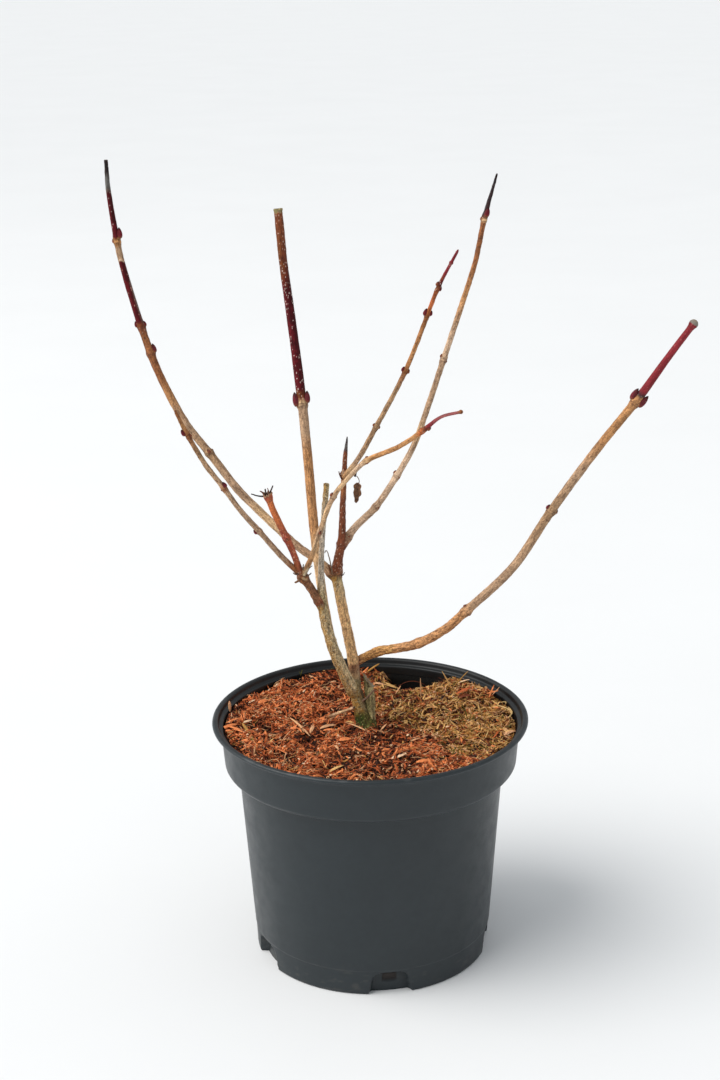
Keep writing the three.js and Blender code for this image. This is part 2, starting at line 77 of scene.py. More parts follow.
def hashed(cell: Array, seed: int) -> Array:
    """Give each whole-number cell a repeatable value from 0 to 1.

    The coordinates are multiplied by large primes, folded together and scrambled twice.

    Args:
        cell: whole numbers, last axis x, y, z.
        seed: picks another pattern.

    Returns:
        One value a cell.
    """
    mask = 0xFFFFFFFF
    key = (cell[..., 0] * 73856093) ^ (cell[..., 1] * 19349663) ^ (cell[..., 2] * 83492791)
    key = (key ^ (seed * 2654435761)) & mask
    key = ((key ^ (key >> 15)) * 739982445) & mask
    key = ((key ^ (key >> 12)) * 695872825) & mask
    return ((key ^ (key >> 15)) & 0xFFFFFF) / 0xFFFFFF


def noise(points: Array, seed: int) -> Array:
    """Value noise from -1 to 1: cell corners are hashed and blended with 3t^2 - 2t^3.

    Args:
        points: places, last axis x, y, z, in units of one cell.
        seed: picks another pattern.

    Returns:
        The noise at each place.
    """
    cell = np.floor(points).astype(np.int64)
    share = points - cell
    share = share * share * (3.0 - 2.0 * share)
    total = np.zeros(points.shape[:-1])
    for corner in range(8):
        step = np.array([corner & 1, corner >> 1 & 1, corner >> 2 & 1])
        weight = np.prod(np.where(step == 1, share, 1.0 - share), axis=-1)
        total += weight * hashed(cell + step, seed)
    return 2.0 * total - 1.0


def fractal(points: Array, octaves: int, seed: int) -> Array:
    """Sum noise at doubling frequency and halving height.

    Args:
        points: places, last axis x, y, z, in units of the coarsest cell.
        octaves: how many layers.
        seed: picks another pattern.

    Returns:
        The sum, about -1 to 1.
    """
    total = np.zeros(points.shape[:-1])
    for octave in range(octaves):
        total += noise(points * 2.0 ** octave, seed + octave) / 2.0 ** octave
    return total / (2.0 - 2.0 ** (1 - octaves))


def flecks(share: Array, along: Array, cells: int, pitch: float, size: float,
           kept: Array, girth: Array, seed: int) -> Array:
    """Scatter small oval flecks, one at most in each cell of a grid laid round a limb.

    Each cell hashes a centre for its fleck and whether it has one. A place is covered by
    how far it lies inside the nearest oval, which is longer along the limb than across.

    Args:
        share: place round the limb, from 0 to 1.
        along: distance along it, mm.
        cells: cells round it.
        pitch: a cell's length, mm.
        size: a fleck's half width, mm.
        kept: share of the cells that hold one.
        girth: distance once round, mm.
        seed: picks another pattern.

    Returns:
        The cover from 0 to 1 at each place.
    """
    column = np.floor(share * cells).astype(np.int64)
    row = np.floor(along / pitch).astype(np.int64)
    cover = np.zeros(share.shape)
    for step_column in (-1, 0, 1):
        for step_row in (-1, 0, 1):
            cell = np.stack([(column + step_column) % cells, row + step_row, row * 0], axis=-1)
            middle = (column + step_column + 0.2 + 0.6 * hashed(cell, seed)) / cells
            across = (share - middle) * girth
            beyond = along - (row + step_row + 0.2 + 0.6 * hashed(cell, seed + 1)) * pitch
            radius = size * (0.5 + hashed(cell, seed + 2))
            inside = 1.0 - smooth(0.55, 1.15, np.hypot(across, beyond / 1.7) / radius)
            cover = np.maximum(cover, np.where(hashed(cell, seed + 3) < kept, inside, 0.0))
    return cover


def mixed(first: Array, second: Array | Colour, share: Array) -> Array:
    """Blend colours: share is how much of the second shows, one value a place."""
    share = np.asarray(share)[..., None]
    return first * (1.0 - share) + np.asarray(second) * share


def painted(colour: Colour, points: Array) -> Array:
    """One colour at every point."""
    return np.broadcast_to(np.array(colour), points.shape)


def round_turn(columns: int) -> Array:
    """Angles of evenly spaced places once round, in radians."""
    return np.arange(columns) * TURN / columns


def turned_from(turn: Array, degrees: float) -> Array:
    """Signed angle from a direction in degrees to each angle, within half a turn."""
    return (turn - math.radians(degrees) + math.pi) % TURN - math.pi


def bell(x: Array, y: Array, spot_x: float, spot_y: float, spread: float) -> Array:
    """A bell on the ground, 1 at its spot and 1/e at its spread."""
    return np.exp(-((x - spot_x) ** 2 + (y - spot_y) ** 2) / spread ** 2)


def ground_noise(x: Array, y: Array, cell: float, octaves: int, seed: int) -> Array:
    """Fractal noise over the ground, in cells of so many mm."""
    return fractal(np.stack([x, y, 0 * x], axis=-1) / cell, octaves, seed)


# ---- meshes from grids

@dataclass
class Grid:
    """A surface of two parameters: rows of points that run right round a limb, pot or leaf.

    Attributes:
        points: (rows, columns, 3) places in metres.
        tint: (rows, columns, 3) linear colours.
        close_start: whether the first row is closed by a fan; the last one always is.
    """

    points: Array
    tint: Array
    close_start: bool = True

    def faces(self) -> tuple[Array, Array, Array, Array]:
        """Work out vertices and faces: quads between rows, and a fan over each closed end.

        Returns:
            Vertices, their colours, quads and triangles.
        """
        rows, columns = self.points.shape[:2]
        places = self.points.reshape(-1, 3)
        colours = self.tint.reshape(-1, 3)
        index = np.arange(rows * columns).reshape(rows, columns)
        following = np.roll(index, -1, axis=1)
        quads = np.stack([index[:-1], following[:-1], following[1:], index[1:]], axis=-1)
        rims = [(0, following[0], index[0])] if self.close_start else []
        rims.append((-1, index[-1], following[-1]))
        fans = []
        for row, first, second in rims:
            fans.append(np.stack([first, second, np.full(columns, len(places))], axis=-1))
            places = np.vstack([places, self.points[row].mean(axis=0)])
            colours = np.vstack([colours, self.tint[row].mean(axis=0)])
        return places, colours, quads.reshape(-1, 4), np.concatenate(fans)


@dataclass
class MeshParts:
    """Collects surfaces and writes them as one mesh object with a colour for each vertex."""

    places: list[Array] = field(default_factory=list)
    colours: list[Array] = field(default_factory=list)
    quads: list[Array] = field(default_factory=list)
    triangles: list[Array] = field(default_factory=list)
    count: int = 0

    def add(self, places: Array, colours: Array, quads: Array, triangles: Array) -> None:
        """Add vertices and the faces between them.

        Args:
            places: (n, 3) vertices in metres.
            colours: (n, 3) linear colours.
            quads: (m, 4) vertex numbers.
            triangles: (k, 3) vertex numbers.
        """
        self.places.append(places)
        self.colours.append(np.broadcast_to(colours, places.shape))
        self.quads.append(quads + self.count)
        self.triangles.append(triangles + self.count)
        self.count += len(places)

    def add_grid(self, grid: Grid) -> None:
        """Add a surface of two parameters."""
        self.add(*grid.faces())

    def write(self, name: str, finish: "Finish", smooth_faces: bool = True) -> bpy.types.Object:
        """Write everything collected into one object at the origin.

        Args:
            name: the piece's name.
            finish: what the piece is made of.
            smooth_faces: whether faces shade as one curved surface.

        Returns:
            The new object, linked to the scene.
        """
        places = np.concatenate(self.places)
        quads = np.concatenate(self.quads).reshape(-1, 4)
        triangles = np.concatenate(self.triangles).reshape(-1, 3)
        corners = np.concatenate([quads.ravel(), triangles.ravel()])
        starts = np.concatenate([np.arange(len(quads)) * 4,
                                 len(quads) * 4 + np.arange(len(triangles)) * 3])
        mesh = bpy.data.meshes.new(name)
        mesh.vertices.add(len(places))
        mesh.vertices.foreach_set("co", places.astype(np.float32).ravel())
        mesh.loops.add(len(corners))
        mesh.loops.foreach_set("vertex_index", corners.astype(np.int32))
        mesh.polygons.add(len(starts))
        mesh.polygons.foreach_set("loop_start", starts.astype(np.int32))
        mesh.polygons.foreach_set("use_smooth", np.full(len(starts), smooth_faces))
        mesh.update(calc_edges=True)
        tint = mesh.attributes.new("tint", "FLOAT_COLOR", "POINT")
        colours = np.concatenate(self.colours)
        tint.data.foreach_set("color", np.hstack([colours, np.ones((len(colours), 1))])
                              .astype(np.float32).ravel())
        mesh.materials.append(finish.material())
        return linked(name, mesh)


def linked(name: str, contents: bpy.types.ID) -> bpy.types.Object:
    """Make an object and link it to the scene.

    Args:
        name: its name.
        contents: its mesh, lamp or camera.

    Returns:
        The object.
    """
    thing = bpy.data.objects.new(name, contents)
    bpy.context.scene.collection.objects.link(thing)
    return thing


def deliver(piece: bpy.types.Object, slot: str, *nodes: str) -> None:
    """Hang a piece on the root, hide the solids that it stands for and log its finish slot.

    Args:
        piece: the piece.
        slot: the record's material slot.
        *nodes: the solids that it replaces.
    """
    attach(piece, ROOT)
    if nodes:
        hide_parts(*nodes)
    log.info("%s: %d vertices, slot %s, replaces %s", piece.name,
             len(piece.data.vertices), slot, ", ".join(nodes) or "nothing")


# ---- finishes

@dataclass(frozen=True)
class Finish:
    """A procedural surface, one colour or the piece's own tint, broken up by fine noise.

    Attributes:
        name: the material's name.
        colour: the linear base colour, or nothing where the mesh carries its own tint.
        roughness: lowest and highest roughness.
        fleck_scale: cells a metre of the colour's break-up.
        fleck_depth: how far that break-up darkens, as a share.
        bump_scale: cells a metre of the relief.
        bump_height: the relief's height in metres.
        specular: how strongly it mirrors light.
        through: share of light that passes through thin parts.
    """

    name: str
    colour: Colour | None
    roughness: Pair
    fleck_scale: float
    fleck_depth: float
    bump_scale: float
    bump_height: float
    specular: float
    through: float = 0.0

    def material(self) -> bpy.types.Material:
        """Return the material, made on first use.

        Returns:
            The node material: tint times noise into colour, noise into roughness and bump.
        """
        made = bpy.data.materials.get(self.name)
        if made is not None:
            return made
        made = bpy.data.materials.new(self.name)
        made.use_nodes = True
        graph = Graph(made.node_tree)
        tint = self.colour
        if tint is None:
            tint = graph.add("Attribute", {}, attribute_name="tint").outputs["Color"]
        depth = self.fleck_depth
        share = graph.spread(self.fleck_scale, 4.0, 1.0 - depth, 1.0 + 0.8 * depth)
        broken = graph.add("VectorMath", {0: tint, "Scale": share}, operation="SCALE")
        bump = graph.add("Bump", {"Strength": 0.9, "Distance": self.bump_height,
                                  "Height": graph.noise(self.bump_scale, 5.0)})
        shader = graph.add("BsdfPrincipled", {
            "Base Color": broken.outputs["Vector"],
            "Roughness": graph.spread(self.fleck_scale * 0.35, 3.0, *self.roughness),
            "Normal": bump.outputs["Normal"],
            "Specular IOR Level": self.specular,
            "Subsurface Weight": self.through,
            "Subsurface Radius": (0.6, 0.3, 0.1),
            "Subsurface Scale": 0.0006,
        })
        graph.add("OutputMaterial", {"Surface": shader.outputs["BSDF"]})
        return made


class Graph:
    """A material's nodes while they are laid."""

    def __init__(self, tree: bpy.types.NodeTree) -> None:
        """Empty the tree and read Object coordinates.

        Args:
            tree: the material's node tree.
        """
        self.tree = tree
        tree.nodes.clear()
        self.place = self.add("TexCoord", {}).outputs["Object"]

    def add(self, kind: str, inputs: dict[str | int, object],
            **settings: str) -> bpy.types.Node:
        """Add a node.

        Args:
            kind: its type without the usual prefix.
            inputs: a value or another node's socket for each input.
            **settings: its other settings.

        Returns:
            The node.
        """
        node = self.tree.nodes.new(f"ShaderNode{kind}")
        for name, value in settings.items():
            setattr(node, name, value)
        for key, value in inputs.items():
            if isinstance(value, bpy.types.NodeSocket):
                self.tree.links.new(value, node.inputs[key])
            else:
                node.inputs[key].default_value = value
        return node

    def noise(self, scale: float, detail: float) -> bpy.types.NodeSocket:
        """Noise on the object, in cells a metre and layers of finer noise."""
        inputs = {"Vector": self.place, "Scale": scale, "Detail": detail, "Roughness": 0.6}
        return self.add("TexNoise", inputs).outputs["Fac"]

    def spread(self, scale: float, detail: float, low: float, high: float) -> bpy.types.NodeSocket:
        """Noise stretched so that its middle part runs between two values."""
        inputs = {"Value": self.noise(scale, detail), "From Min": 0.3, "From Max": 0.7,
                  "To Min": low, "To Max": high}
        return self.add("MapRange", inputs).outputs["Result"]


# The bark's finish for each of the record's slots.
BARK_FINISHES = {
    "grey_bark": Finish("weathered_grey_bark", None, (0.75, 0.95), 1500.0, 0.7, 2200.0, 0.0004,
                        0.2),
    "tan_bark": Finish("smooth_tan_bark", None, (0.55, 0.78), 1400.0, 0.36, 2000.0, 0.00022,
                       0.24),
    "brown_bark": Finish("dry_brown_bark", None, (0.5, 0.74), 1400.0, 0.38, 2000.0, 0.00024,
                         0.22),
    "young_shoot": Finish("young_shoot_bark", None, (0.5, 0.7), 1200.0, 0.3, 1800.0, 0.00012,
                          0.12),
}
PLASTIC = Finish("anthracite_plastic", None, (0.34, 0.48), 260.0, 0.07, 3200.0, 0.00004, 0.42)
MEDIUM = Finish("crumbly_medium", None, (0.85, 0.97), 700.0, 0.5, 1100.0, 0.0009, 0.2)
DRY_LEAF = Finish("dry_leaf", None, (0.7, 0.9), 900.0, 0.35, 1300.0, 0.0003, 0.3, 0.1)
DRY_SCRAP = Finish("dry_scrap", None, (0.6, 0.9), 900.0, 0.36, 1300.0, 0.0003, 0.16, 0.06)
FLOOR = Finish("pale_floor", linear(236, 237, 238), (0.75, 0.85), 4.0, 0.01, 60.0, 0.00002, 0.1)


# ---- tones of bark

@dataclass(frozen=True)
class Look:
    """How a stretch of bark looks.

    Attributes:
        colour: base colour, in display values from 0 to 255.
        fleck: colour of its lenticels, in the same values.
        flecked: share of cells that hold a lenticel.
        relief: height of its cracks and wrinkles, mm.
        weather_and_shade: how much of its right side, away from the light, turns grey: partly
            weathered bark, partly painted shade.
        algae_and_lit_side: how much of its left side, towards the light, takes another colour:
            algal film or moss, and on the red shoots a painted lit side.
        growth_and_lit_colour: that colour, of the algal film or moss, and on the red shoots of the
            painted lit side.
    """

    colour: Shade
    fleck: Shade
    flecked: float
    relief: float
    weather_and_shade: float
    algae_and_lit_side: float = 0.0
    growth_and_lit_colour: Shade = (172, 120, 38)


class Tone(Enum):
    """The kinds of bark on the shrub, from the mossy foot to the frosted tips."""

    MOSSY = Look((96, 92, 44), (158, 156, 96), 0.6, 0.5, 0.0, 1.0, (38, 58, 8))
    LICHEN = Look((152, 132, 92), (196, 186, 146), 0.8, 0.42, 0.1, 0.7)
    OLIVE = Look((172, 156, 112), (92, 84, 52), 0.8, 0.6, 0.1, 0.5, (96, 94, 44))
    GREY = Look((204, 178, 134), (224, 212, 178), 0.8, 0.42, 0.2, 0.6)
    ASH = Look((194, 181, 162), (120, 110, 98), 0.7, 0.26, 0.25, 0.15)
    HUSK = Look((142, 98, 68), (84, 50, 34), 0.7, 0.4, 0.3)
    TAN = Look((182, 148, 117), (112, 74, 50), 0.5, 0.18, 0.35)
    PALE = Look((210, 178, 148), (146, 104, 76), 0.4, 0.14, 0.3)
    BUFF = Look((216, 177, 132), (136, 92, 62), 0.45, 0.16, 0.25)
    DUN = Look((166, 131, 96), (104, 70, 48), 0.5, 0.2, 0.35)
    FLAKY = Look((220, 162, 98), (108, 60, 34), 0.85, 0.5, 0.1)
    COPPER = Look((208, 152, 102), (104, 58, 38), 0.5, 0.34, 0.15)
    OCHRE = Look((218, 175, 124), (136, 90, 56), 0.7, 0.34, 0.2)
    AMBER = Look((188, 136, 88), (116, 68, 42), 0.5, 0.16, 0.15)
    CHESTNUT = Look((150, 94, 55), (92, 50, 34), 0.55, 0.2, 0.2)
    RUST = Look((206, 114, 64), (110, 44, 32), 0.4, 0.1, 0.12)
    RUSSET = Look((172, 86, 58), (214, 166, 136), 0.3, 0.1, 0.12, 0.5, (132, 44, 52))
    BROWN = Look((124, 68, 42), (224, 190, 166), 0.35, 0.22, 0.1)
    MAROON = Look((66, 12, 18), (236, 212, 200), 0.22, 0.06, 0.0, 0.6, (108, 20, 30))
    CLARET = Look((74, 14, 20), (200, 150, 130), 0.15, 0.06, 0.85, 0.4, (112, 16, 24))
    CRIMSON = Look((130, 42, 48), (160, 96, 88), 0.1, 0.04, 0.2)
    ROSE = Look((150, 84, 84), (176, 120, 108), 0.15, 0.05, 0.1)
    FROST = Look((104, 102, 98), (40, 36, 38), 0.9, 0.16, 0.0)
    SMOKE = Look((58, 42, 45), (124, 116, 116), 0.4, 0.16, 0.0)
    DEAD = Look((32, 28, 30), (104, 100, 98), 0.3, 0.16, 0.0)


class End(Enum):
    """How a limb ends."""

    CUT = "a clean cut across"
    POINT = "drawn out to a point"
    ROUND = "a healed round end"
    RAGGED = "a corky rim round a dry hollow"
    SPLIT = "a long slanting split"
    CALLUS = "a rounded knob of callus"
    WORN = "an old flat break"


WOOD = linear(206, 182, 142)
PITH = linear(232, 224, 204)
SCAR = linear(70, 40, 30)
CORK = linear(168, 130, 96)
BUD_RED = linear(104, 28, 38)
BUD_BROWN = linear(126, 70, 48)
BUD_TIP = linear(58, 20, 24)
# Grey of weathered bark, also used as painted cool shade on the side away from the light.
WEATHER_AND_SHADE_GREY = linear(138, 124, 110)
DRY_WOOD = linear(150, 138, 118)
CALLUS_GREY = linear(132, 124, 114)

# Rows that close a limb: radii past its end, share of the radius kept, colour and its cover.
END_STEPS = {
    End.CUT: ((0, 1, WOOD, 0), (0.1, 0.97, SCAR, 0.7), (0.12, 0.88, CORK, 1),
              (0.05, 0.78, WOOD, 1), (0.03, 0.45, WOOD, 1), (0, 0.2, PITH, 1)),
    End.POINT: ((0.5, 0.93, SCAR, 0), (1.1, 0.75, SCAR, 0.2), (1.7, 0.5, SCAR, 0.4),
                (2.1, 0.22, SCAR, 0.5)),
    End.ROUND: ((0.3, 0.96, SCAR, 0), (0.55, 0.85, SCAR, 0), (0.76, 0.66, SCAR, 0.1),
                (0.9, 0.42, SCAR, 0.2), (0.97, 0.15, SCAR, 0.3)),
    End.RAGGED: ((0, 1.06, CORK, 0.4), (0.3, 1.05, CORK, 0.9), (0.34, 0.85, DRY_WOOD, 1),
                 (0, 0.68, SCAR, 1), (-0.3, 0.4, SCAR, 1), (-0.35, 0.15, SCAR, 1)),
    End.SPLIT: ((0, 1, DRY_WOOD, 0.3), (0.05, 0.93, DRY_WOOD, 0.9), (0, 0.8, DRY_WOOD, 1),
                (-0.2, 0.55, DRY_WOOD, 1), (-0.3, 0.25, CORK, 0.8)),
    End.CALLUS: ((0, 1, CALLUS_GREY, 0.6), (0.3, 1.02, CALLUS_GREY, 1),
                 (0.6, 0.92, CALLUS_GREY, 1), (0.85, 0.7, DRY_WOOD, 0.9),
                 (0.95, 0.4, CALLUS_GREY, 0.9), (0.9, 0.15, SCAR, 0.6)),
    End.WORN: ((0, 1.02, CORK, 0.1), (0.1, 0.96, CORK, 0.3), (0.05, 0.8, SCAR, 0.4),
               (0, 0.4, SCAR, 0.5)),
}


@dataclass(frozen=True)
class Limb:
    """One limb from its carrier to its end.

    Attributes:
        pieces: the station where each solid starts, and that solid's name.
        slots: the record's material slot of each solid.
        stations: x, y, z and diameter in mm.
        tones: each look of the bark and the station where it shows, or the first and last;
            a station may be part of the way to the next.
        buds: station, degrees round the limb from its +X side, and scale.
        end: how it ends.
        collar: how much it widens where it leaves its carrier, as a share.
        groove: start and end in mm, degrees round the limb and depth of a furrow along it.
        swellings: station, share by which it thickens there and half length in mm.
    """

    pieces: dict[int, str]
    slots: tuple[str, ...]
    stations: tuple[Four, ...]
    tones: tuple[tuple[Tone | float, ...], ...]
    buds: tuple[Triple, ...] = ()
    end: End = End.ROUND
    collar: float = 0.25
    groove: Four | None = None
    swellings: tuple[Triple, ...] = ()


LIMBS = (
    Limb(
        {0: "trunk"}, ("grey_bark",),
        ((-1.8, 0, 138, 11.8), (-2.9, 1.1, 144, 10), (-4.8, 2.4, 152, 9.6),
         (-8.3, 2.8, 165.2, 9.2)),
        ((Tone.MOSSY, 0, 1.4), (Tone.LICHEN, 2, 3)),
        collar=0.2,
        groove=(9, 30, -10, 2.8),
    ),
    Limb(
        {0: "broken_stub"}, ("grey_bark",),
        ((-0.8, 0.4, 141, 6.4), (0.1, 3.4, 154.5, 6.2), (-1.2, 6.2, 171.5, 5.2)),
        ((Tone.MOSSY, 0), (Tone.OLIVE, 0.5, 2)),
        end=End.SPLIT,
    ),
    Limb(
        {0: "stem_grey", 3: "snag_grey"}, ("grey_bark", "grey_bark"),
        ((-9.2, 2.4, 161.5, 7.2), (-14.9, -2, 175, 6.9), (-22.2, -6.7, 197, 6.5),
         (-27.3, -11, 223.3, 5.7), (-27.5, -14, 241.6, 3.6), (-26.3, -17, 263.8, 3.3),
         (-23.2, -20, 298, 3.2)),
        ((Tone.LICHEN, 0), (Tone.GREY, 0.4, 2.7), (Tone.LICHEN, 3), (Tone.GREY, 3.4),
         (Tone.ASH, 4, 5.5), (Tone.GREY, 5.8), (Tone.LICHEN, 6)),
        end=End.WORN,
    ),
    Limb(
        {0: "limb_fork"}, ("brown_bark",),
        ((-27.4, -10.5, 221.5, 5.2), (-33.6, -16, 234.4, 4.9), (-38.6, -20.2, 243.8, 4.8)),
        ((Tone.LICHEN, 0), (Tone.BROWN, 0.3), (Tone.HUSK, 0.5, 1.6), (Tone.CHESTNUT, 2)),
        swellings=((0.3, 0.12, 1.4), (1.8, 0.44, 2.8)),
    ),
    Limb(
        {0: "bough_front_left", 4: "shoot_front_left"}, ("tan_bark", "young_shoot"),
        ((-37.4, -19.4, 242.4, 3.6), (-47.8, -25, 255.1, 3.3), (-62, -33, 275.5, 3.2),
         (-71.3, -38, 288.8, 3.1), (-80, -43, 303.8, 3), (-88.6, -47, 317.4, 2.9),
         (-97.8, -52, 336.6, 2.6), (-102.9, -55, 349.1, 1.7)),
        ((Tone.HUSK, 0), (Tone.CHESTNUT, 0.3, 0.6), (Tone.TAN, 1, 3.8), (Tone.CHESTNUT, 4),
         (Tone.TAN, 4.2), (Tone.DUN, 5.4), (Tone.CHESTNUT, 6), (Tone.AMBER, 6.4),
         (Tone.CHESTNUT, 7)),
        ((1.95, 195, 0.7), (3.97, 330, 0.85), (3.9, 180, 0.3), (6, 200, 0.9), (5.9, 340, 0.4)),
        End.POINT,
    ),
    Limb(
        {0: "stub_red"}, ("brown_bark",),
        ((-38.6, -20.4, 243.4, 3.9), (-42.2, -24, 257, 3.7), (-46.3, -27, 268.5, 4.1),
         (-53.3, -31, 286.4, 3.7), (-56, -33, 295.8, 3.6)),
        ((Tone.HUSK, 0), (Tone.BROWN, 0.3), (Tone.RUSSET, 1, 2.2), (Tone.RUST, 2.8, 3.6),
         (Tone.RUSSET, 4)),
        ((2, 280, 0.3),),
        End.RAGGED,
        swellings=((3.9, 0.5, 2.6),),
    ),
    Limb(
        {0: "bough_front_right", 5: "shoot_front_right"}, ("tan_bark", "young_shoot"),
        ((-38, -20.6, 243.2, 3.1), (-33, -24, 254.6, 3), (-27.5, -27, 271.5, 2.9),
         (-19.3, -32, 293.8, 2.8), (-9.2, -36, 307.6, 2.7), (-0.8, -39, 316.4, 3),
         (16.8, -46, 326.1, 2.8), (29.7, -52, 336.2, 2.6), (39.8, -56, 345.2, 1.8),
         (50.4, -60, 348.9, 1.7)),
        ((Tone.HUSK, 0), (Tone.DUN, 0.2), (Tone.AMBER, 1), (Tone.BUFF, 1.5), (Tone.TAN, 2),
         (Tone.BUFF, 2.5), (Tone.TAN, 3), (Tone.BUFF, 3.6), (Tone.PALE, 4.6), (Tone.BUFF, 5),
         (Tone.AMBER, 5.2, 6.8), (Tone.RUST, 7), (Tone.BROWN, 7.15), (Tone.CRIMSON, 7.4),
         (Tone.ROSE, 8, 8.8), (Tone.CHESTNUT, 9)),
        ((2, 275, 0.45), (3, 190, 0.6), (3, 20, 0.3), (5.03, 150, 0.4),
         (5, 310, 0.3), (7.25, 325, 0.55), (7, 150, 0.35)),
        swellings=((5, 0.12, 1.4), (9, 0.4, 1.1)),
    ),
    Limb(
        {0: "stem_centre"}, ("tan_bark",),
        ((-8.2, 4.6, 161.5, 6.6), (-9.7, 8.6, 179, 6.5), (-14.8, 15, 205.7, 6.2),
         (-19.3, 20, 230.2, 6.4)),
        ((Tone.GREY, 0), (Tone.DUN, 0.6), (Tone.HUSK, 0.85), (Tone.OCHRE, 1, 2.2),
         (Tone.GREY, 2.75), (Tone.LICHEN, 2.9), (Tone.HUSK, 3)),
        collar=0.0,
    ),
    Limb(
        {0: "snapped_twig"}, ("grey_bark",),
        ((-25.2, 8.6, 143.1, 2.1), (-18.6, 3.9, 147.6, 2.0), (-9.8, -1.6, 153.2, 1.6)),
        ((Tone.CHESTNUT, 0), (Tone.DUN, 0.3), (Tone.TAN, 0.6), (Tone.BUFF, 1.2), (Tone.TAN, 2)),
        end=End.RAGGED,
        collar=0.1,
    ),
    Limb(
        {0: "leader_lower", 2: "leader_dead"}, ("brown_bark", "brown_bark"),
        ((-19.1, 20, 228.5, 5.8), (-17.9, 20, 239.2, 5.5), (-15.9, 20, 249.1, 4.8),
         (-14.4, 18, 277, 3.6), (-13.4, 16, 293.4, 3.2), (-12.6, 15, 305.1, 2.7),
         (-11.4, 14, 315.6, 0.9)),
        ((Tone.LICHEN, 0), (Tone.HUSK, 0.25), (Tone.BROWN, 0.5, 3), (Tone.CHESTNUT, 3.3, 3.7),
         (Tone.AMBER, 3.9), (Tone.TAN, 4.05), (Tone.BROWN, 4.2, 5), (Tone.SMOKE, 5.3),
         (Tone.FROST, 5.6), (Tone.SMOKE, 5.8), (Tone.DEAD, 6)),
        ((2, 190, 0.3), (4, 190, 0.4)),
        End.POINT,
        swellings=((0.3, 0.16, 1.3), (0.75, 0.1, 1.2), (4, 0.15, 1.8)),
    ),
    Limb(
        {0: "bough_inner_right", 3: "shoot_inner_right"}, ("tan_bark", "young_shoot"),
        ((-13.4, 16.2, 291.8, 3.2), (-5.7, 11, 303, 3.1), (5.3, 4, 324.5, 3),
         (21.8, -6, 358.8, 2.7), (33.9, -16, 392.5, 2.4), (39.7, -21, 408.9, 2.2),
         (49.8, -26, 429.3, 1.5)),
        ((Tone.AMBER, 0), (Tone.BUFF, 0.5), (Tone.TAN, 1), (Tone.DUN, 1.6, 2.7),
         (Tone.CHESTNUT, 3), (Tone.AMBER, 3.4), (Tone.CHESTNUT, 4), (Tone.RUST, 4.4),
         (Tone.BROWN, 5), (Tone.MAROON, 5.1), (Tone.CRIMSON, 5.4, 5.64), (Tone.ROSE, 5.7),
         (Tone.CRIMSON, 5.76, 6)),
        ((2, 0, 0.4), (2, 180, 0.45), (3, 0, 0.6), (3, 180, 0.7), (4.05, 0, 0.7), (4, 180, 1),
         (4.93, 10, 0.65), (5.05, 195, 0.6)),
        End.POINT,
        swellings=((5.7, 0.5, 0.7),),
    ),
    Limb(
        {0: "bough_back_right", 5: "bough_back_high", 9: "shoot_back_right"},
        ("tan_bark", "tan_bark", "young_shoot"),
        ((-15.9, 20.2, 247.4, 5), (-7.6, 24, 258, 4.4), (4.8, 29, 269, 4),
         (17.2, 34, 286, 3.8), (27.5, 38, 303.2, 3.6), (34.2, 42, 319.8, 3.5),
         (45.7, 49, 352.5, 3.5), (56.7, 55, 384, 3.4), (65, 60, 409, 3.2),
         (70.5, 63, 434.3, 3.1), (77.5, 66, 458.4, 1.3)),
        ((Tone.BROWN, 0), (Tone.TAN, 0.6), (Tone.PALE, 1), (Tone.TAN, 2), (Tone.PALE, 2.6, 3.6),
         (Tone.TAN, 4), (Tone.BUFF, 4.5), (Tone.TAN, 5, 6), (Tone.PALE, 6.3), (Tone.TAN, 6.6),
         (Tone.AMBER, 7.2), (Tone.CHESTNUT, 8, 8.85), (Tone.BUFF, 8.95), (Tone.BROWN, 9.03),
         (Tone.SMOKE, 9.12), (Tone.DEAD, 10)),
        ((0.5, 90, 0.35), (0.5, 270, 0.3), (2, 300, 0.3), (2, 120, 0.3), (3, 320, 0.3),
         (3.05, 175, 0.55), (6.05, 185, 0.5), (6, 340, 0.3), (9.04, 290, 1.2), (8.94, 190, 0.5)),
        End.POINT,
        swellings=((8.97, 0.25, 1.4),),
    ),
    Limb(
        {0: "bough_left", 5: "bough_left_high", 9: "shoot_left", 11: "tip_left"},
        ("tan_bark", "tan_bark", "young_shoot", "young_shoot"),
        ((-19.6, 20.2, 228.4, 5.2), (-28.1, 21, 237.1, 4.9), (-42.2, 23, 247.4, 4.8),
         (-63.8, 28, 267.4, 4.8), (-76.4, 30, 280.4, 4.8), (-93, 34, 302.2, 4.7),
         (-106.9, 36, 320.8, 4.7), (-121, 39, 349, 4.6), (-125.5, 40.1, 361.2, 4.5),
         (-130.4, 41.5, 376.7, 4.3), (-140.1, 43.5, 414, 3.7), (-142.4, 44, 427.2, 3.6),
         (-146, 45, 456.8, 2.9), (-146.4, 45, 472.6, 2.2)),
        ((Tone.LICHEN, 0), (Tone.HUSK, 0.3), (Tone.TAN, 0.6), (Tone.BUFF, 1),
         (Tone.TAN, 1.6, 2.2), (Tone.BUFF, 2.6, 3), (Tone.TAN, 3.6, 4.4), (Tone.DUN, 5),
         (Tone.TAN, 6), (Tone.AMBER, 6.5), (Tone.CHESTNUT, 7, 8.7), (Tone.BROWN, 8.95),
         (Tone.CLARET, 9.08, 10), (Tone.PALE, 10.05), (Tone.TAN, 10.15, 10.7),
         (Tone.AMBER, 10.85, 11.02), (Tone.MAROON, 11.08, 11.9), (Tone.FROST, 12, 12.3),
         (Tone.DEAD, 12.6, 13)),
        ((5, 290, 0.6), (5, 10, 0.3), (8, 10, 1.2), (9, 0, 0.7), (9.02, 185, 0.8),
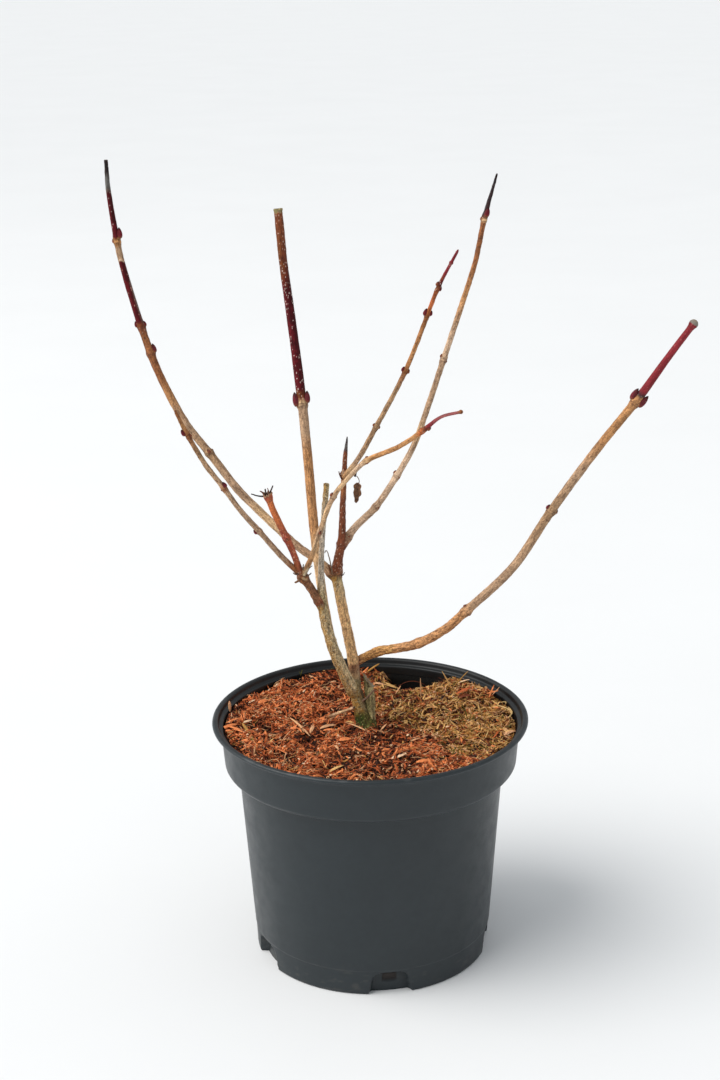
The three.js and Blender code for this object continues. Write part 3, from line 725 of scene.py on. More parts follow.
         (11.03, 350, 1.4), (10.9, 180, 0.6)),
        End.WORN,
        swellings=((0.35, 0.2, 2.0), (10.9, 0.24, 1.8)),
    ),
    Limb(
        {0: "stem_back", 4: "shoot_back"}, ("tan_bark", "young_shoot"),
        ((-16.8, -2.4, 178, 4.6), (-23.7, 4, 200.8, 5.2), (-30.7, 14, 250.7, 5.6),
         (-34.6, 25, 299.6, 5.6), (-37.6, 33, 332.7, 5.7), (-43.7, 44, 385.1, 5.2),
         (-47.3, 50, 413.4, 5.1), (-49.6, 54, 442.4, 5)),
        ((Tone.GREY, 0), (Tone.BUFF, 0.8, 1.8), (Tone.AMBER, 2.2, 3.1), (Tone.TAN, 3.5, 3.9),
         (Tone.BUFF, 4), (Tone.BROWN, 4.05), (Tone.MAROON, 4.15, 5.4), (Tone.BROWN, 6.6, 6.9),
         (Tone.OLIVE, 6.95, 7)),
        ((3.94, 200, 1.9), (3.98, 345, 1.6)),
        End.CUT,
        swellings=((7, 0.08, 1.5),),
    ),
    Limb(
        {0: "bough_low_right", 5: "bough_low_middle", 8: "bough_low_outer",
         10: "shoot_low_right"},
        ("tan_bark", "tan_bark", "tan_bark", "young_shoot"),
        ((-10.4, 8.4, 176.4, 4.6), (-4.6, 11.2, 179.5, 5.3), (6.1, 12, 183.9, 5.5),
         (16.9, 9, 186.8, 5.5), (28.2, 4.8, 191, 5.6), (44.4, -2, 202.4, 5.4),
         (56.7, -8, 216.1, 5.2), (82.9, -19, 246.6, 5.2), (103.1, -28, 282.7, 5),
         (128.6, -34, 321.9, 4.8), (149.3, -38, 350.6, 4.8), (162.8, -40, 371.4, 3.9),
         (176.4, -42, 391.4, 3.6)),
        ((Tone.FLAKY, 0), (Tone.HUSK, 0.5), (Tone.FLAKY, 1.1, 2.6), (Tone.COPPER, 3, 5.8),
         (Tone.TAN, 6.2, 7), (Tone.DUN, 8), (Tone.TAN, 8.6), (Tone.AMBER, 9.1, 9.96),
         (Tone.SMOKE, 10.02), (Tone.CRIMSON, 10.15, 12)),
        ((5.95, 0, 0.6), (6.03, 180, 0.5), (8, 180, 0.7), (8, 0, 0.6), (9.9, 178, 1.6),
         (9.87, 352, 1.8)),
        End.CALLUS,
        0.1,
        swellings=((1.9, 0.12, 2.5), (4.1, 0.16, 3.0), (9.9, 0.3, 1.5), (12, 0.42, 2.0)),
    ),
)


# ---- limbs

class Route:
    """A smooth curve through a limb's stations, measured along its length.

    Between two stations it is a cubic. Each gap counts the square root of its length as its
    time; the slope at a station is the velocity over the gap before, less that over both
    gaps, plus that over the gap after. Beyond each end the last gap is mirrored.
    """

    STEPS = 60

    def __init__(self, stations: Array) -> None:
        """Sample the curve.

        Args:
            stations: (n, 4) x, y, z and diameter in mm.
        """
        points = stations[:, :3]
        padded = np.vstack([2 * points[0] - points[1], points, 2 * points[-1] - points[-2]])
        times = np.sqrt(np.linalg.norm(np.diff(padded, axis=0), axis=1))[:, None]
        before, start, stop, after = padded[:-3], padded[1:-2], padded[2:-1], padded[3:]
        first, middle, last = times[:-2], times[1:-1], times[2:]
        leave = (start - before) / first - (stop - before) / (first + middle)
        leave = (leave + (stop - start) / middle) * middle
        arrive = (stop - start) / middle - (after - start) / (middle + last)
        arrive = (arrive + (after - stop) / last) * middle
        share = np.linspace(0, 1, self.STEPS, endpoint=False)[None, :, None]
        start, stop, leave, arrive = (a[:, None] for a in (start, stop, leave, arrive))
        curve = (start + leave * share + (3 * (stop - start) - 2 * leave - arrive) * share ** 2
                 + (2 * (start - stop) + leave + arrive) * share ** 3)
        self.path = np.vstack([curve.reshape(-1, 3), points[-1]])
        chords = np.linalg.norm(np.diff(self.path, axis=0), axis=1)
        self.lengths = np.concatenate([[0], np.cumsum(chords)])
        self.slopes = np.gradient(self.path, self.lengths, axis=0)
        self.marks = self.lengths[::self.STEPS]
        self.total = float(self.lengths[-1])
        self.diameters = stations[:, 3]

    def at(self, distance: Array) -> tuple[Array, Array, Array, Array]:
        """Find the axis and its cross directions.

        Right is +Y crossed with along, so it is +X on an upright limb; away is along
        crossed with right. Past either end the axis goes straight on.

        Args:
            distance: mm along the axis.

        Returns:
            Centre, along, right and away, each with a last axis x, y, z.
        """
        inside = np.clip(distance, 0, self.total)
        centre, along = (
            np.stack([np.interp(inside, self.lengths, track[:, axis]) for axis in range(3)], -1)
            for track in (self.path, self.slopes)
        )
        along /= np.linalg.norm(along, axis=-1, keepdims=True)
        centre = centre + along * (distance - inside)[..., None]
        right = np.cross(np.array([0.0, 1.0, 0.0]), along)
        right /= np.linalg.norm(right, axis=-1, keepdims=True)
        return centre, along, right, np.cross(along, right)

    def radius(self, distance: Array) -> Array:
        """Half the thickness, straight between stations."""
        return np.interp(distance, self.marks, self.diameters) / 2

    def mark(self, station: float | Array) -> float | Array:
        """Distance in mm of a station, or of a place part of the way to the next."""
        return np.interp(station, np.arange(len(self.marks)), self.marks)


@dataclass
class BudMaker:
    """Makes the paired, two-scaled winter buds of the shrub.

    Attributes:
        length: a plain bud's length, mm.
        width: its greatest width, mm.
        tilt: about how many degrees a plain one leans off its limb; larger ones lean more.
        sink: share of the limb's radius at which it is rooted.
        ripe: the scale from which a bud is red and not brown.
        rows: rings along it.
        columns: places round it.
    """

    length: float = 4.4
    width: float = 2.6
    tilt: float = 12.0
    sink: float = 0.84
    ripe: float = 0.65
    rows: int = 13
    columns: int = 16

    def grid(self, route: Route, mark: float, degrees: float, scale: float,
             thickness: float) -> Grid:
        """Build one bud as rings along its own leaning axis.

        The ring's radius is (t + 0.06)^0.35 times (1 - t)^0.7, widened a little across and
        notched where its two scales meet. The tip curls back towards the limb.

        Args:
            route: the limb's curve.
            mark: the node's distance along it, mm.
            degrees: direction round the limb.
            scale: the bud's scale.
            thickness: the limb's radius at the node, mm.

        Returns:
            The bud's surface.
        """
        centre, along, right, away = (a[0] for a in route.at(np.array([mark])))
        angle, lean = math.radians(degrees), math.radians(self.tilt * (0.8 + 0.25 * scale))
        out = right * math.cos(angle) + away * math.sin(angle)
        side = np.cross(along, out)
        axis = along * math.cos(lean) + out * math.sin(lean)
        front = np.cross(side, axis)
        share = np.linspace(0, 0.992, self.rows)[:, None]
        turn = round_turn(self.columns)[None, :]
        swell = (share + 0.06) ** 0.35 * (1 - share) ** 0.7 / 0.541
        notch = np.exp(-((np.abs(np.sin(turn)) - 1) / 0.03) ** 2) * smooth(0.1, 0.5, share)
        ring = 0.5 * self.width * scale ** 0.62 * swell * (1 - 0.12 * notch)
        rise = share * self.length * scale
        curl = -0.13 * self.length * scale * share ** 2
        root = centre + out * thickness * self.sink
        points = (root + axis * rise[..., None] + front * (curl + 0 * turn)[..., None]
                  + side * (ring * np.sin(turn) * 1.08)[..., None]
                  - front * (ring * np.cos(turn))[..., None])
        body = BUD_RED if scale >= self.ripe else BUD_BROWN
        tint = painted(body, points) * (1 + 0.3 * fractal(points / 0.9, 2, 41))[..., None]
        tint = mixed(tint, BUD_BROWN, (1 - smooth(0.02, 0.3, share)) * np.ones_like(turn))
        tint = mixed(tint, BUD_TIP, smooth(0.6, 0.95, share) * np.ones_like(turn))
        tint = mixed(tint, SCAR, 0.75 * notch)
        return Grid(points * MM, tint)


# Layers of noise in the bark: cell across and along the limb in mm, octaves and seed step.
BARK_LAYERS = {
    "drift": (2.5, 6.0, 2, 0), "ridges": (1.1, 5.0, 3, 3), "crust": (0.8, 2.4, 3, 6),
    "bend": (3.5, 9.0, 1, 9), "streak": (0.7, 6.5, 3, 15), "patch": (2.2, 5.0, 2, 19),
    "speck": (0.7, 1.5, 2, 22),
}


@dataclass
class LimbBark:
    """Grows one limb's bark: swollen nodes, fissures, lenticels, leaf scars, buds, end.

    Attributes:
        limb: the limb.
        order: its place in the list, which picks its patterns.
        pitch: mm between rings.
        column_pitch: mm between places round it.
        columns: fewest and most places round it.
        tuck: mm by which a piece runs on inside its neighbour.
        tucked: share of its radius that it has there.
        swell: share by which a node thickens.
        reach: half length of that thickening, mm.
        slant: how far back a slanting split reaches, mm.
        lenticels: their pitch round the limb and along it and their half width, mm.
        bud_maker: makes its buds.
    """

    limb: Limb
    order: int
    pitch: float = 0.45
    column_pitch: float = 0.42
    columns: tuple[int, int] = (22, 64)
    tuck: float = 0.7
    tucked: float = 0.93
    swell: float = 0.24
    reach: float = 1.9
    slant: float = 12.0
    lenticels: Triple = (1.1, 1.5, 0.22)
    bud_maker: BudMaker = field(default_factory=BudMaker)

    def __post_init__(self) -> None:
        """Lay the limb's curve and the tracks of its tones."""
        self.route = Route(np.array(self.limb.stations, float))
        looks, places = zip(*((tone.value, place) for tone, *run in self.limb.tones
                              for place in run))
        self.tone_marks = self.route.mark(np.array(places, float))
        self.tracks = {name: np.array([getattr(look, name) for look in looks])
                       for name in ("flecked", "relief", "weather_and_shade", "algae_and_lit_side")}
        for name in ("colour", "fleck", "growth_and_lit_colour"):
            self.tracks[name] = np.array([linear(*getattr(look, name)) for look in looks])
        self.nodes = [self.route.mark(station) for station, *_ in self.limb.buds]

    def track(self, name: str, distance: Array) -> Array:
        """Read one property of the bark's look.

        Args:
            name: the property.
            distance: mm along the limb.

        Returns:
            Its value at each place, straight between the tones' marks.
        """
        values = self.tracks[name]
        if values.ndim == 1:
            return np.interp(distance, self.tone_marks, values)
        return np.stack([np.interp(distance, self.tone_marks, values[:, channel])
                         for channel in range(3)], axis=-1)

    def thickness(self, distance: Array) -> Array:
        """The limb's radius with swollen nodes and a collar at its foot.

        A node or swelling adds a share that falls off as a bell over its reach. The collar
        falls off as a bell over a diameter and a third.

        Args:
            distance: mm along the limb.

        Returns:
            The radius in mm.
        """
        radius = self.route.radius(distance)
        bells = [self.swell * np.exp(-((distance - node) / self.reach) ** 2)
                 for node in self.nodes]
        bells += [share * np.exp(-((distance - self.route.mark(station)) / reach) ** 2)
                  for station, share, reach in self.limb.swellings]
        swell = np.max(bells, axis=0) if bells else 0.0
        foot = self.limb.collar * np.exp(-(distance / (1.3 * self.limb.stations[0][3])) ** 2)
        return radius * (1 + swell + foot)

    def scars(self, distance: Array, turn: Array, radius: Array) -> tuple[Array, Array, Array]:
        """Find the leaf scars below the buds and the line that joins them round a node.

        A scar is an oval with a dark rim and a corky middle.

        Args:
            distance: mm along the limb.
            turn: angle round it.
            radius: its radius, mm.

        Returns:
            The cover of dark line, of cork, and the height that the scars add, mm.
        """
        line = np.zeros(distance.shape)
        cork = np.zeros(distance.shape)
        for station, degrees, scale in self.limb.buds:
            below = distance - self.route.mark(station)
            off = turned_from(turn, degrees)
            reach = math.sqrt(scale)
            oval = np.hypot(off * radius / (1.5 * reach), (below + 0.55 * reach) / (0.5 * reach))
            cork = np.maximum(cork, 1 - smooth(0.55, 0.8, oval))
            rim = smooth(0.6, 0.85, oval) * (1 - smooth(1.0, 1.35, oval))
            wave = below + 0.55 + 0.35 * np.cos(2 * off)
            ring = np.exp(-(wave / 0.22) ** 2) * 0.75
            line = np.maximum(line, np.maximum(rim, ring))
        for station, _, reach in self.limb.swellings:
            wave = distance - self.route.mark(station) + 0.9 * reach + 0.3 * np.sin(2 * turn)
            line = np.maximum(line, 0.6 * np.exp(-(wave / 0.3) ** 2))
        return line, cork, 0.16 * cork - 0.1 * line

    def surface(self, distance: Array, turn: Array) -> tuple[Array, Array]:
        """Work out the bark's radius and colour.

        Relief is ridged noise stretched along the limb, plus crust and raised lenticels.

        Args:
            distance: mm along the limb, one value a place.
            turn: angle round it, one value a place.

        Returns:
            The radius in mm and the linear colour.
        """
        radius = self.thickness(distance)
        seed = 100 + 17 * self.order
        local = np.stack([np.cos(turn) * radius, np.sin(turn) * radius, distance], axis=-1)
        layer = {name: fractal(local / np.array([across, across, along]), octaves, seed + step)
                 for name, (across, along, octaves, step) in BARK_LAYERS.items()}
        shifted = distance + 2.2 * layer["drift"]
        ridges = np.abs(layer["ridges"])
        streak, patch, speck = layer["streak"], layer["patch"], layer["speck"]
        relief = self.track("relief", shifted)
        share = self.track("flecked", shifted)
        round_pitch, pitch, size = self.lenticels
        cells = max(5, round(TURN * float(np.median(radius)) / round_pitch))
        spots = flecks(turn / TURN, distance, cells, pitch, size, share, TURN * radius, seed + 12)
        line, cork, raised = self.scars(distance, turn, radius)
        height = (relief * (1.1 * layer["crust"] - 1.6 * (0.35 - ridges)) * 0.8 + 0.05 * spots
                  + raised + 0.035 * radius * layer["bend"])
        furrow = self.furrow(distance, turn)
        rough = np.clip(1.8 * relief, 0.08, 0.85)
        colour = self.track("colour", shifted)
        colour = colour * (1 + 0.52 * streak + 0.28 * patch + rough * speck)[..., None]
        # Painted shade, partly real weathering: the right side, away from the light, turns cool
        # grey.
        sky = smooth(-0.2, 0.9, np.cos(turn - 0.5)) * smooth(-0.25, 0.5, patch + 0.4 * streak)
        colour = mixed(colour, WEATHER_AND_SHADE_GREY, sky * self.track("weather_and_shade", shifted))
        # Painted light, partly real moss and algal film: the left side, towards the light, takes
        # another colour; on red shoots it is a lighter, lit red.
        algae_and_lit_mask = smooth(0.1, 0.9, np.cos(turn - 3.6) + 0.7 * patch + 0.5 * speck)
        colour = mixed(colour, self.track("growth_and_lit_colour", shifted) * (1 + 0.5 * speck)[..., None],
                       algae_and_lit_mask * self.track("algae_and_lit_side", shifted))
        # Painted shade: the bottoms of the cracks are darkened towards the scar colour.
        crack = smooth(0.12, 0.0, ridges) * np.clip(relief / 0.2, 0.15, 1)
        colour = mixed(colour, SCAR, 0.7 * crack)
        colour = mixed(colour, self.track("fleck", shifted), 0.85 * spots)
        colour = mixed(colour, CORK, 0.6 * cork)
        # Scar lines are the bark's own; the furrow's darkening is painted shade in its crevice.
        colour = mixed(colour, SCAR, np.maximum(0.8 * line, 0.25 * furrow))
        return radius + height - furrow, np.clip(colour, 0.004, 0.9)

    def furrow(self, distance: Array, turn: Array) -> Array:
        """Find the depth of the limb's furrow, a bell across and ramped at both its ends.

        Args:
            distance: mm along the limb.
            turn: angle round it.

        Returns:
            The depth in mm.
        """
        if self.limb.groove is None:
            return np.zeros(distance.shape)
        start, stop, degrees, depth = self.limb.groove
        ends = smooth(start - 4, start + 4, distance) * smooth(stop + 4, stop - 4, distance)
        return depth * np.exp(-(turned_from(turn, degrees) / 0.8) ** 2) * ends

    def end_rows(self, columns: int) -> tuple[Array, Array, Array, Array]:
        """Lay the rows that close the limb's far end.

        Args:
            columns: places round the limb.

        Returns:
            For each row and column: mm past the end, share of the radius kept, a colour and
            how much of it covers the bark.
        """
        radius = float(self.thickness(np.array([self.route.total]))[0])
        turn = round_turn(columns)
        past, kept, paint, cover = (np.repeat(np.array(values)[:, None], columns, axis=1)
                                    for values in zip(*END_STEPS[self.limb.end]))
        past = past * radius
        teeth = hashed(np.stack([np.floor(turn * 5), turn * 0, turn * 0], -1).astype(int), 7)
        if self.limb.end in (End.RAGGED, End.SPLIT):
            past = past + (0.5 * teeth - 0.2) * radius * kept
            kept = kept * (1 + 0.14 * np.sin(3 * turn + 1) * (kept > 0.6) + 0.1 * teeth)
        return past, kept, paint, cover

    def stretch(self, start: float, stop: float, last: bool) -> Grid:
        """Build the bark between two distances, tucked into its neighbours at hidden ends.

        Args:
            start: where it begins, mm.
            stop: where it ends.
            last: whether the limb's own end closes it.

        Returns:
            The surface.
        """
        widest = float(self.thickness(np.linspace(start, stop, 9)).max())
        columns = int(np.clip(round(TURN * widest / self.column_pitch), *self.columns))
        turn = round_turn(columns)
        count = max(4, math.ceil((stop - start) / self.pitch))
        rows = np.linspace(start, stop, count + 1)
        rows = np.concatenate([[start - self.tuck], rows, [] if last else [stop + self.tuck]])
        distance = rows[:, None] * np.ones(columns)
        kept = np.where((distance < start) | (distance > stop), self.tucked, 1.0)
        paint = np.zeros((len(rows), columns, 3))
        cover = np.zeros((len(rows), columns))
        if last:
            past, share, colour, hidden = self.end_rows(columns)
            if self.limb.end is End.SPLIT:
                slope = 1.6 * float(self.route.radius(np.array([stop]))[0])
                slant = -slope * (np.cos(turn + 0.2) + 1)
                near = smooth(0.0, self.slant, distance - (stop - self.slant))
                distance = distance + slant * near
                past = past + slant
            distance = np.vstack([distance, stop + past])
            kept = np.vstack([kept, share])
            paint = np.vstack([paint, colour])
            cover = np.vstack([cover, hidden])
        around = np.broadcast_to(turn, distance.shape)
        radius, tint = self.surface(distance, around)
        radius = radius * kept
        tint = tint * (1 - cover)[..., None] + paint * cover[..., None]
        centre, _, right, away = self.route.at(distance)
        points = (centre + right * (radius * np.cos(around))[..., None]
                  + away * (radius * np.sin(around))[..., None])
        return Grid(points * MM, tint)

    def dress(self) -> None:
        """Build every piece of the limb and hand it over."""
        starts = sorted(self.limb.pieces)
        for order, (station, slot) in enumerate(zip(starts, self.limb.slots)):
            last = order + 1 == len(starts)
            start = self.route.marks[station]
            stop = self.route.total if last else self.route.marks[starts[order + 1]]
            parts = MeshParts()
            parts.add_grid(self.stretch(float(start), float(stop), last))
            for node, degrees, scale in self.limb.buds:
                mark = float(self.route.mark(node))
                if start - 0.5 <= mark < stop - 0.5:
                    thick = float(self.thickness(np.array([mark]))[0])
                    parts.add_grid(self.bud_maker.grid(self.route, mark, degrees, scale, thick))
            name = self.limb.pieces[station]
            deliver(parts.write(f"{name}_bark", BARK_FINISHES[slot]), slot, name)


# ---- the camera's view

@dataclass(frozen=True)
class View:
    """The camera's place and direction, and its frame.

    Attributes:
        place: the camera's place, mm.
        pitch: how far it looks down, degrees.
        roll: how far it leans, degrees.
        lens: focal length, mm.
        frame_height: the height of the frame that the lens fills, mm.
        frame: the frame's width and height in its own units.
    """

    place: Triple = (-4.697, -1048.84, 598.17)
    pitch: float = 17.971
    roll: float = -0.75
    lens: float = 63.23
    frame_height: float = 36.0
    frame: Pair = (720.0, 1080.0)

    def axes(self) -> Array:
        """Work out the camera's own right, up and backward directions.

        Returns:
            (3, 3) with a direction in each column.
        """
        pitch, roll = math.radians(self.pitch), math.radians(self.roll)
        forward = np.array([0, math.cos(pitch), -math.sin(pitch)])
        upright = np.array([0, math.sin(pitch), math.cos(pitch)])
        level = np.array([1.0, 0, 0])
        right = level * math.cos(roll) + upright * math.sin(roll)
        up = upright * math.cos(roll) - level * math.sin(roll)
        return np.stack([right, up, -forward], axis=1)

    def meet(self, spots: Array, axis: int, level: float | Array) -> Array:
        """Find where lines of sight meet a plane.

        A line leaves the camera along its forward direction, plus right and up by the
        place's distance from the frame's middle as a share of the focal length.

        Args:
            spots: (n, 2) places in the frame, right and down from its upper left corner.
            axis: number of the axis that the plane lies square to.
            level: where it cuts that axis, mm.

        Returns:
            (n, 3) places, mm.
        """
        right, up, back = self.axes().T
        unit = self.frame_height / self.frame[1] / self.lens
        off = (spots - np.array(self.frame) / 2) * unit
        ray = off[:, :1] * right - off[:, 1:] * up - back
        start = np.array(self.place)
        return start + ray * ((level - start[axis]) / ray[:, axis])[:, None]


# ---- pot and growing medium

def rounded(profile: Array, reach: float) -> Array:
    """Round every corner of a profile by a short curve through three points.

    The curve starts and ends up to reach from the corner and passes halfway to it.

    Args:
        profile: (n, 2) radius and height.
        reach: how far from the corner the curve starts, mm.

    Returns:
        The rounded profile.
    """
    before, corner, after = profile[:-2], profile[1:-1], profile[2:]
    back, forth = before - corner, after - corner
    back_length = np.linalg.norm(back, axis=1, keepdims=True)
    forth_length = np.linalg.norm(forth, axis=1, keepdims=True)
    start = corner + back / back_length * np.minimum(reach, 0.42 * back_length)
    stop = corner + forth / forth_length * np.minimum(reach, 0.42 * forth_length)
    middle = 0.25 * start + 0.5 * corner + 0.25 * stop
    curves = np.stack([start, middle, stop], axis=1).reshape(-1, 2)
    return np.vstack([profile[:1], curves, profile[-1:]])


def divided(profile: Array, longest: Array) -> Array:
    """Divide a profile's long edges evenly.

    Args:
        profile: (n, 2) radius and height.
        longest: the longest edge allowed after each point, mm.

    Returns:
        The profile with more points.
    """
    lengths = np.linalg.norm(np.diff(profile, axis=0), axis=1)
    counts = np.maximum(1, np.ceil(lengths / longest)).astype(int)
    edge = np.repeat(np.arange(len(counts)), counts)
    first = np.concatenate([[0], np.cumsum(counts)[:-1]])
    share = ((np.arange(len(edge)) - first[edge]) / counts[edge])[:, None]
    return np.vstack([profile[edge] * (1 - share) + profile[edge + 1] * share, profile[-1:]])


ANTHRACITE = linear(32, 40, 44)
RUBBED_PLASTIC = linear(92, 94, 96)
POT_DUST = linear(112, 104, 94)
MEDIUM_STAIN = linear(30, 21, 16)
SLOT_SHADE = linear(34, 24, 18)


@dataclass
class Pot:
    """The moulded nursery pot: foot with drainage recesses, tapered wall, collar and lip.

    Attributes:
        height: height of the lip's top, mm.
        lip: radius of the lip outside.
        lip_inner: its radius inside.
        lip_depth: its thickness.
        ledge: how far below the lip the ledge inside it lies.
        collar_top: radius of the collar below the lip.
        collar_bottom: radius at its lower edge.
        collar_foot: height of that edge.
        step: height of the step between wall and collar.
        wall_top: radius of the wall below the step.
        base: radius at the foot.
        wall: thickness of the wall.
        ring: inner radius of the foot ring that it stands on.
        disc: radius of the flush disc in the middle of the underside.
        hollow: depth of the underside between them.
        floor: height of the floor inside.
        floor_radius: its radius.
        middle: radius of the innermost ring of the mesh.
        recess_count: how many drainage recesses the foot has.
        recess_first: where the first is centred, degrees.
        recess_half: half its width, degrees.
        recess_floor: radius of its floor.
        recess_height: its height.
        slot_side: distances from its middle between which its slot ends, mm.
        slot_foot: heights between which the slot begins.
        slot_head: heights between which it ends.
        slot_depth: how deep it is.
        oval: how far the rim is from round, mm.
        columns: places round it.
        fillet: how far from a corner its rounding starts, mm.
        pitches: mm between rings at the foot, where nothing shows and elsewhere.
    """

    height: float = 148.0
    lip: float = 94.4
    lip_inner: float = 90.8
    lip_depth: float = 2.4
    ledge: float = 3.8
    collar_top: float = 89.3
    collar_bottom: float = 87.5
    collar_foot: float = 121.0
    step: float = 5.0
    wall_top: float = 79.3
    base: float = 71.2
    wall: float = 1.4
    ring: float = 62.0
    disc: float = 20.0
    hollow: float = 2.5
    floor: float = 4.7
    floor_radius: float = 64.2
    middle: float = 0.6
    recess_count: int = 5
    recess_first: float = -154.0
    recess_half: float = 10.0
    recess_floor: float = 66.4
    recess_height: float = 14.0
    slot_side: Pair = (4.1, 4.9)
    slot_foot: Pair = (5.9, 6.6)
    slot_head: Pair = (10.8, 11.5)
    slot_depth: float = 1.9
    oval: float = 0.12
    columns: int = 540
    fillet: float = 0.7
    pitches: Triple = (0.9, 9.0, 3.0)

    def inside(self) -> Array:
        """Lay out the inside from the ledge down to the floor.

        Returns:
            (n, 2) radius and height.
        """
        step_foot = self.collar_foot - self.step + 2
        return np.array([
            (self.collar_top - self.wall, self.height - self.ledge - 0.6),
            (self.collar_bottom - self.wall, step_foot + 3),
            (self.collar_bottom - self.wall - 3, step_foot),
            (self.wall_top - self.wall, step_foot - 1),
            (self.base + 1.4 - self.wall, 21),
            (self.floor_radius, 16),
            (self.floor_radius, self.floor),
            (self.middle, self.floor),
        ])

    def outside(self) -> Array:
        """Lay out the outside from the middle of the underside up and over to the ledge.

        Returns:
            (n, 2) radius and height.
        """
        lip_foot = self.height - self.lip_depth
        step_foot = self.collar_foot - self.step
        ledge = self.height - self.ledge
        return np.array([
            (self.middle, 0), (self.disc, 0), (self.disc + 1.5, self.hollow),
            (self.ring - 1.5, self.hollow), (self.ring, 0), (self.base - 0.8, 0),
            (self.base, 0.8), (self.base + 0.7, 15.6), (self.base + 1.05, 16.2),
            (self.wall_top, step_foot), (self.wall_top + 1.5, step_foot + 1.5),
            (self.collar_bottom - 1.5, step_foot + 3), (self.collar_bottom, self.collar_foot),
            (self.collar_top, lip_foot - 3), (self.collar_top + 0.8, lip_foot - 1.5),
            (self.lip - 1.5, lip_foot - 0.4), (self.lip, lip_foot + 0.4),
            (self.lip, self.height - 0.8), (self.lip - 0.8, self.height),
            (self.lip_inner + 0.8, self.height), (self.lip_inner, self.height - 0.8),
            (self.lip_inner - 0.4, ledge + 0.4), (self.collar_top - self.wall + 0.4, ledge),
        ])

    def recessed(self, radius: Array, height: Array, turn: Array) -> tuple[Array, Array]:
        """Press the drainage recesses and their slots into the foot.

        Inside a recess's outline, which narrows towards its top, the radius falls to the
        recess's floor. Inside the slot it falls a wall's thickness further.

        Args:
            radius: radius before, mm.
            height: height, mm.
            turn: angle round the pot.

        Returns:
            The new radius and the cover of the slot.
        """
        pitch = TURN / self.recess_count
        off = (turn - math.radians(self.recess_first) + pitch / 2) % pitch - pitch / 2
        across = np.abs(off) * self.base
        half = self.base * math.tan(math.radians(self.recess_half))
        narrow = np.interp(height, [0, 11, 13, self.recess_height], [1, 0.82, 0.7, 0.5])
        inside = (1 - smooth(-0.5, 0.5, across - half * narrow))
        inside = inside * (1 - smooth(self.recess_height - 0.5, self.recess_height + 0.4, height))
        deep = radius > self.recess_floor
        floor = self.recess_floor + 0.02 * (radius - self.recess_floor)
        radius = np.where(deep, radius + (floor - radius) * inside, radius)
        slot = (1 - smooth(*self.slot_side, across)) * smooth(*self.slot_foot, height)
        slot = slot * (1 - smooth(*self.slot_head, height)) * inside * deep
        return radius - self.slot_depth * slot, slot

    def profile(self) -> tuple[Array, Array]:
        """Round and divide the whole profile, finely only where it shows detail.

        Returns:
            (n, 2) radius and height, and whether each point is on the outside.
        """
        corners = rounded(np.vstack([self.outside(), self.inside()]), self.fillet)
        middle, height = ((corners[:-1] + corners[1:]) / 2).T
        outside = np.arange(len(middle)) < int(np.argmax(corners[:, 1]))
        foot = outside & (height < self.recess_height + 3) & (middle > self.ring)
        hidden = np.where(outside, middle < self.ring, height < self.collar_foot - 11)
        foot_pitch, hidden_pitch, pitch = self.pitches
        profile = divided(corners, np.select([foot, hidden], [foot_pitch, hidden_pitch], pitch))
        return profile, np.arange(len(profile)) < int(np.argmax(profile[:, 1]))

    def tinted(self, points: Array, outer: Array, slot: Array) -> Array:
        """Colour the plastic, with its wear, dust, the medium's mark and painted shade inside and
        in the slots.

        Args:
            points: (rows, columns, 3) places in mm.
            outer: (rows, 1) whether a row is on the outside.
            slot: the cover of the drainage slots.

        Returns:
            The linear colours.
        """
        height = points[..., 2]
        cloud = fractal(points / 24.0, 3, 301)
        rub = fractal(points / np.array([5.0, 5.0, 1.6]), 3, 311)
        tint = painted(ANTHRACITE, points) * (1 + 0.1 * cloud + 0.05 * rub)[..., None]
        lip = smooth(self.height - 1.6, self.height - 0.3, height)
        tint = mixed(tint, RUBBED_PLASTIC, 0.35 * lip * smooth(-0.1, 0.5, cloud + rub))
        dust = smooth(0.1, 0.6, rub + 0.6 * cloud) * smooth(26, 2, height) * outer
        tint = mixed(tint, POT_DUST, 0.14 * dust)
        # Painted shade: the whole inside of the pot is darkened to a fifth.
        tint *= np.where(outer, 1.0, 0.2)[..., None]
        tint = mixed(tint, MEDIUM_STAIN, 0.7 * smooth(141.5, 138.5, height) * ~outer)
        return mixed(tint, SLOT_SHADE, slot)

    def dress(self) -> None:
        """Turn the profile round, press the recesses in and bend the rim a little oval."""
        profile, outer = self.profile()
        outer = outer[:, None]
        radius = np.repeat(profile[:, :1], self.columns, axis=1)
        height = np.repeat(profile[:, 1:], self.columns, axis=1)
        around = np.broadcast_to(round_turn(self.columns), radius.shape)
        pressed, slot = self.recessed(radius, height, around)
        radius = np.where(outer, pressed, radius)
        radius = radius + self.oval * np.sin(2 * around + 0.6) * smooth(30, 140, height)
        points = np.stack([radius * np.cos(around), radius * np.sin(around), height], axis=-1)
        tint = self.tinted(points, outer, slot * outer)
        parts = MeshParts()
        parts.add_grid(Grid(points * MM, tint))
        deliver(parts.write("moulded_pot", PLASTIC), "pot", "pot")


PEAT = linear(58, 34, 22)
DRY_PEAT = linear(98, 54, 32)
# Painted shade in the low spots of the medium's lumpy top.
LOW_SPOT_SHADE = linear(26, 16, 11)
GAP_SHADE = linear(9, 7, 5)


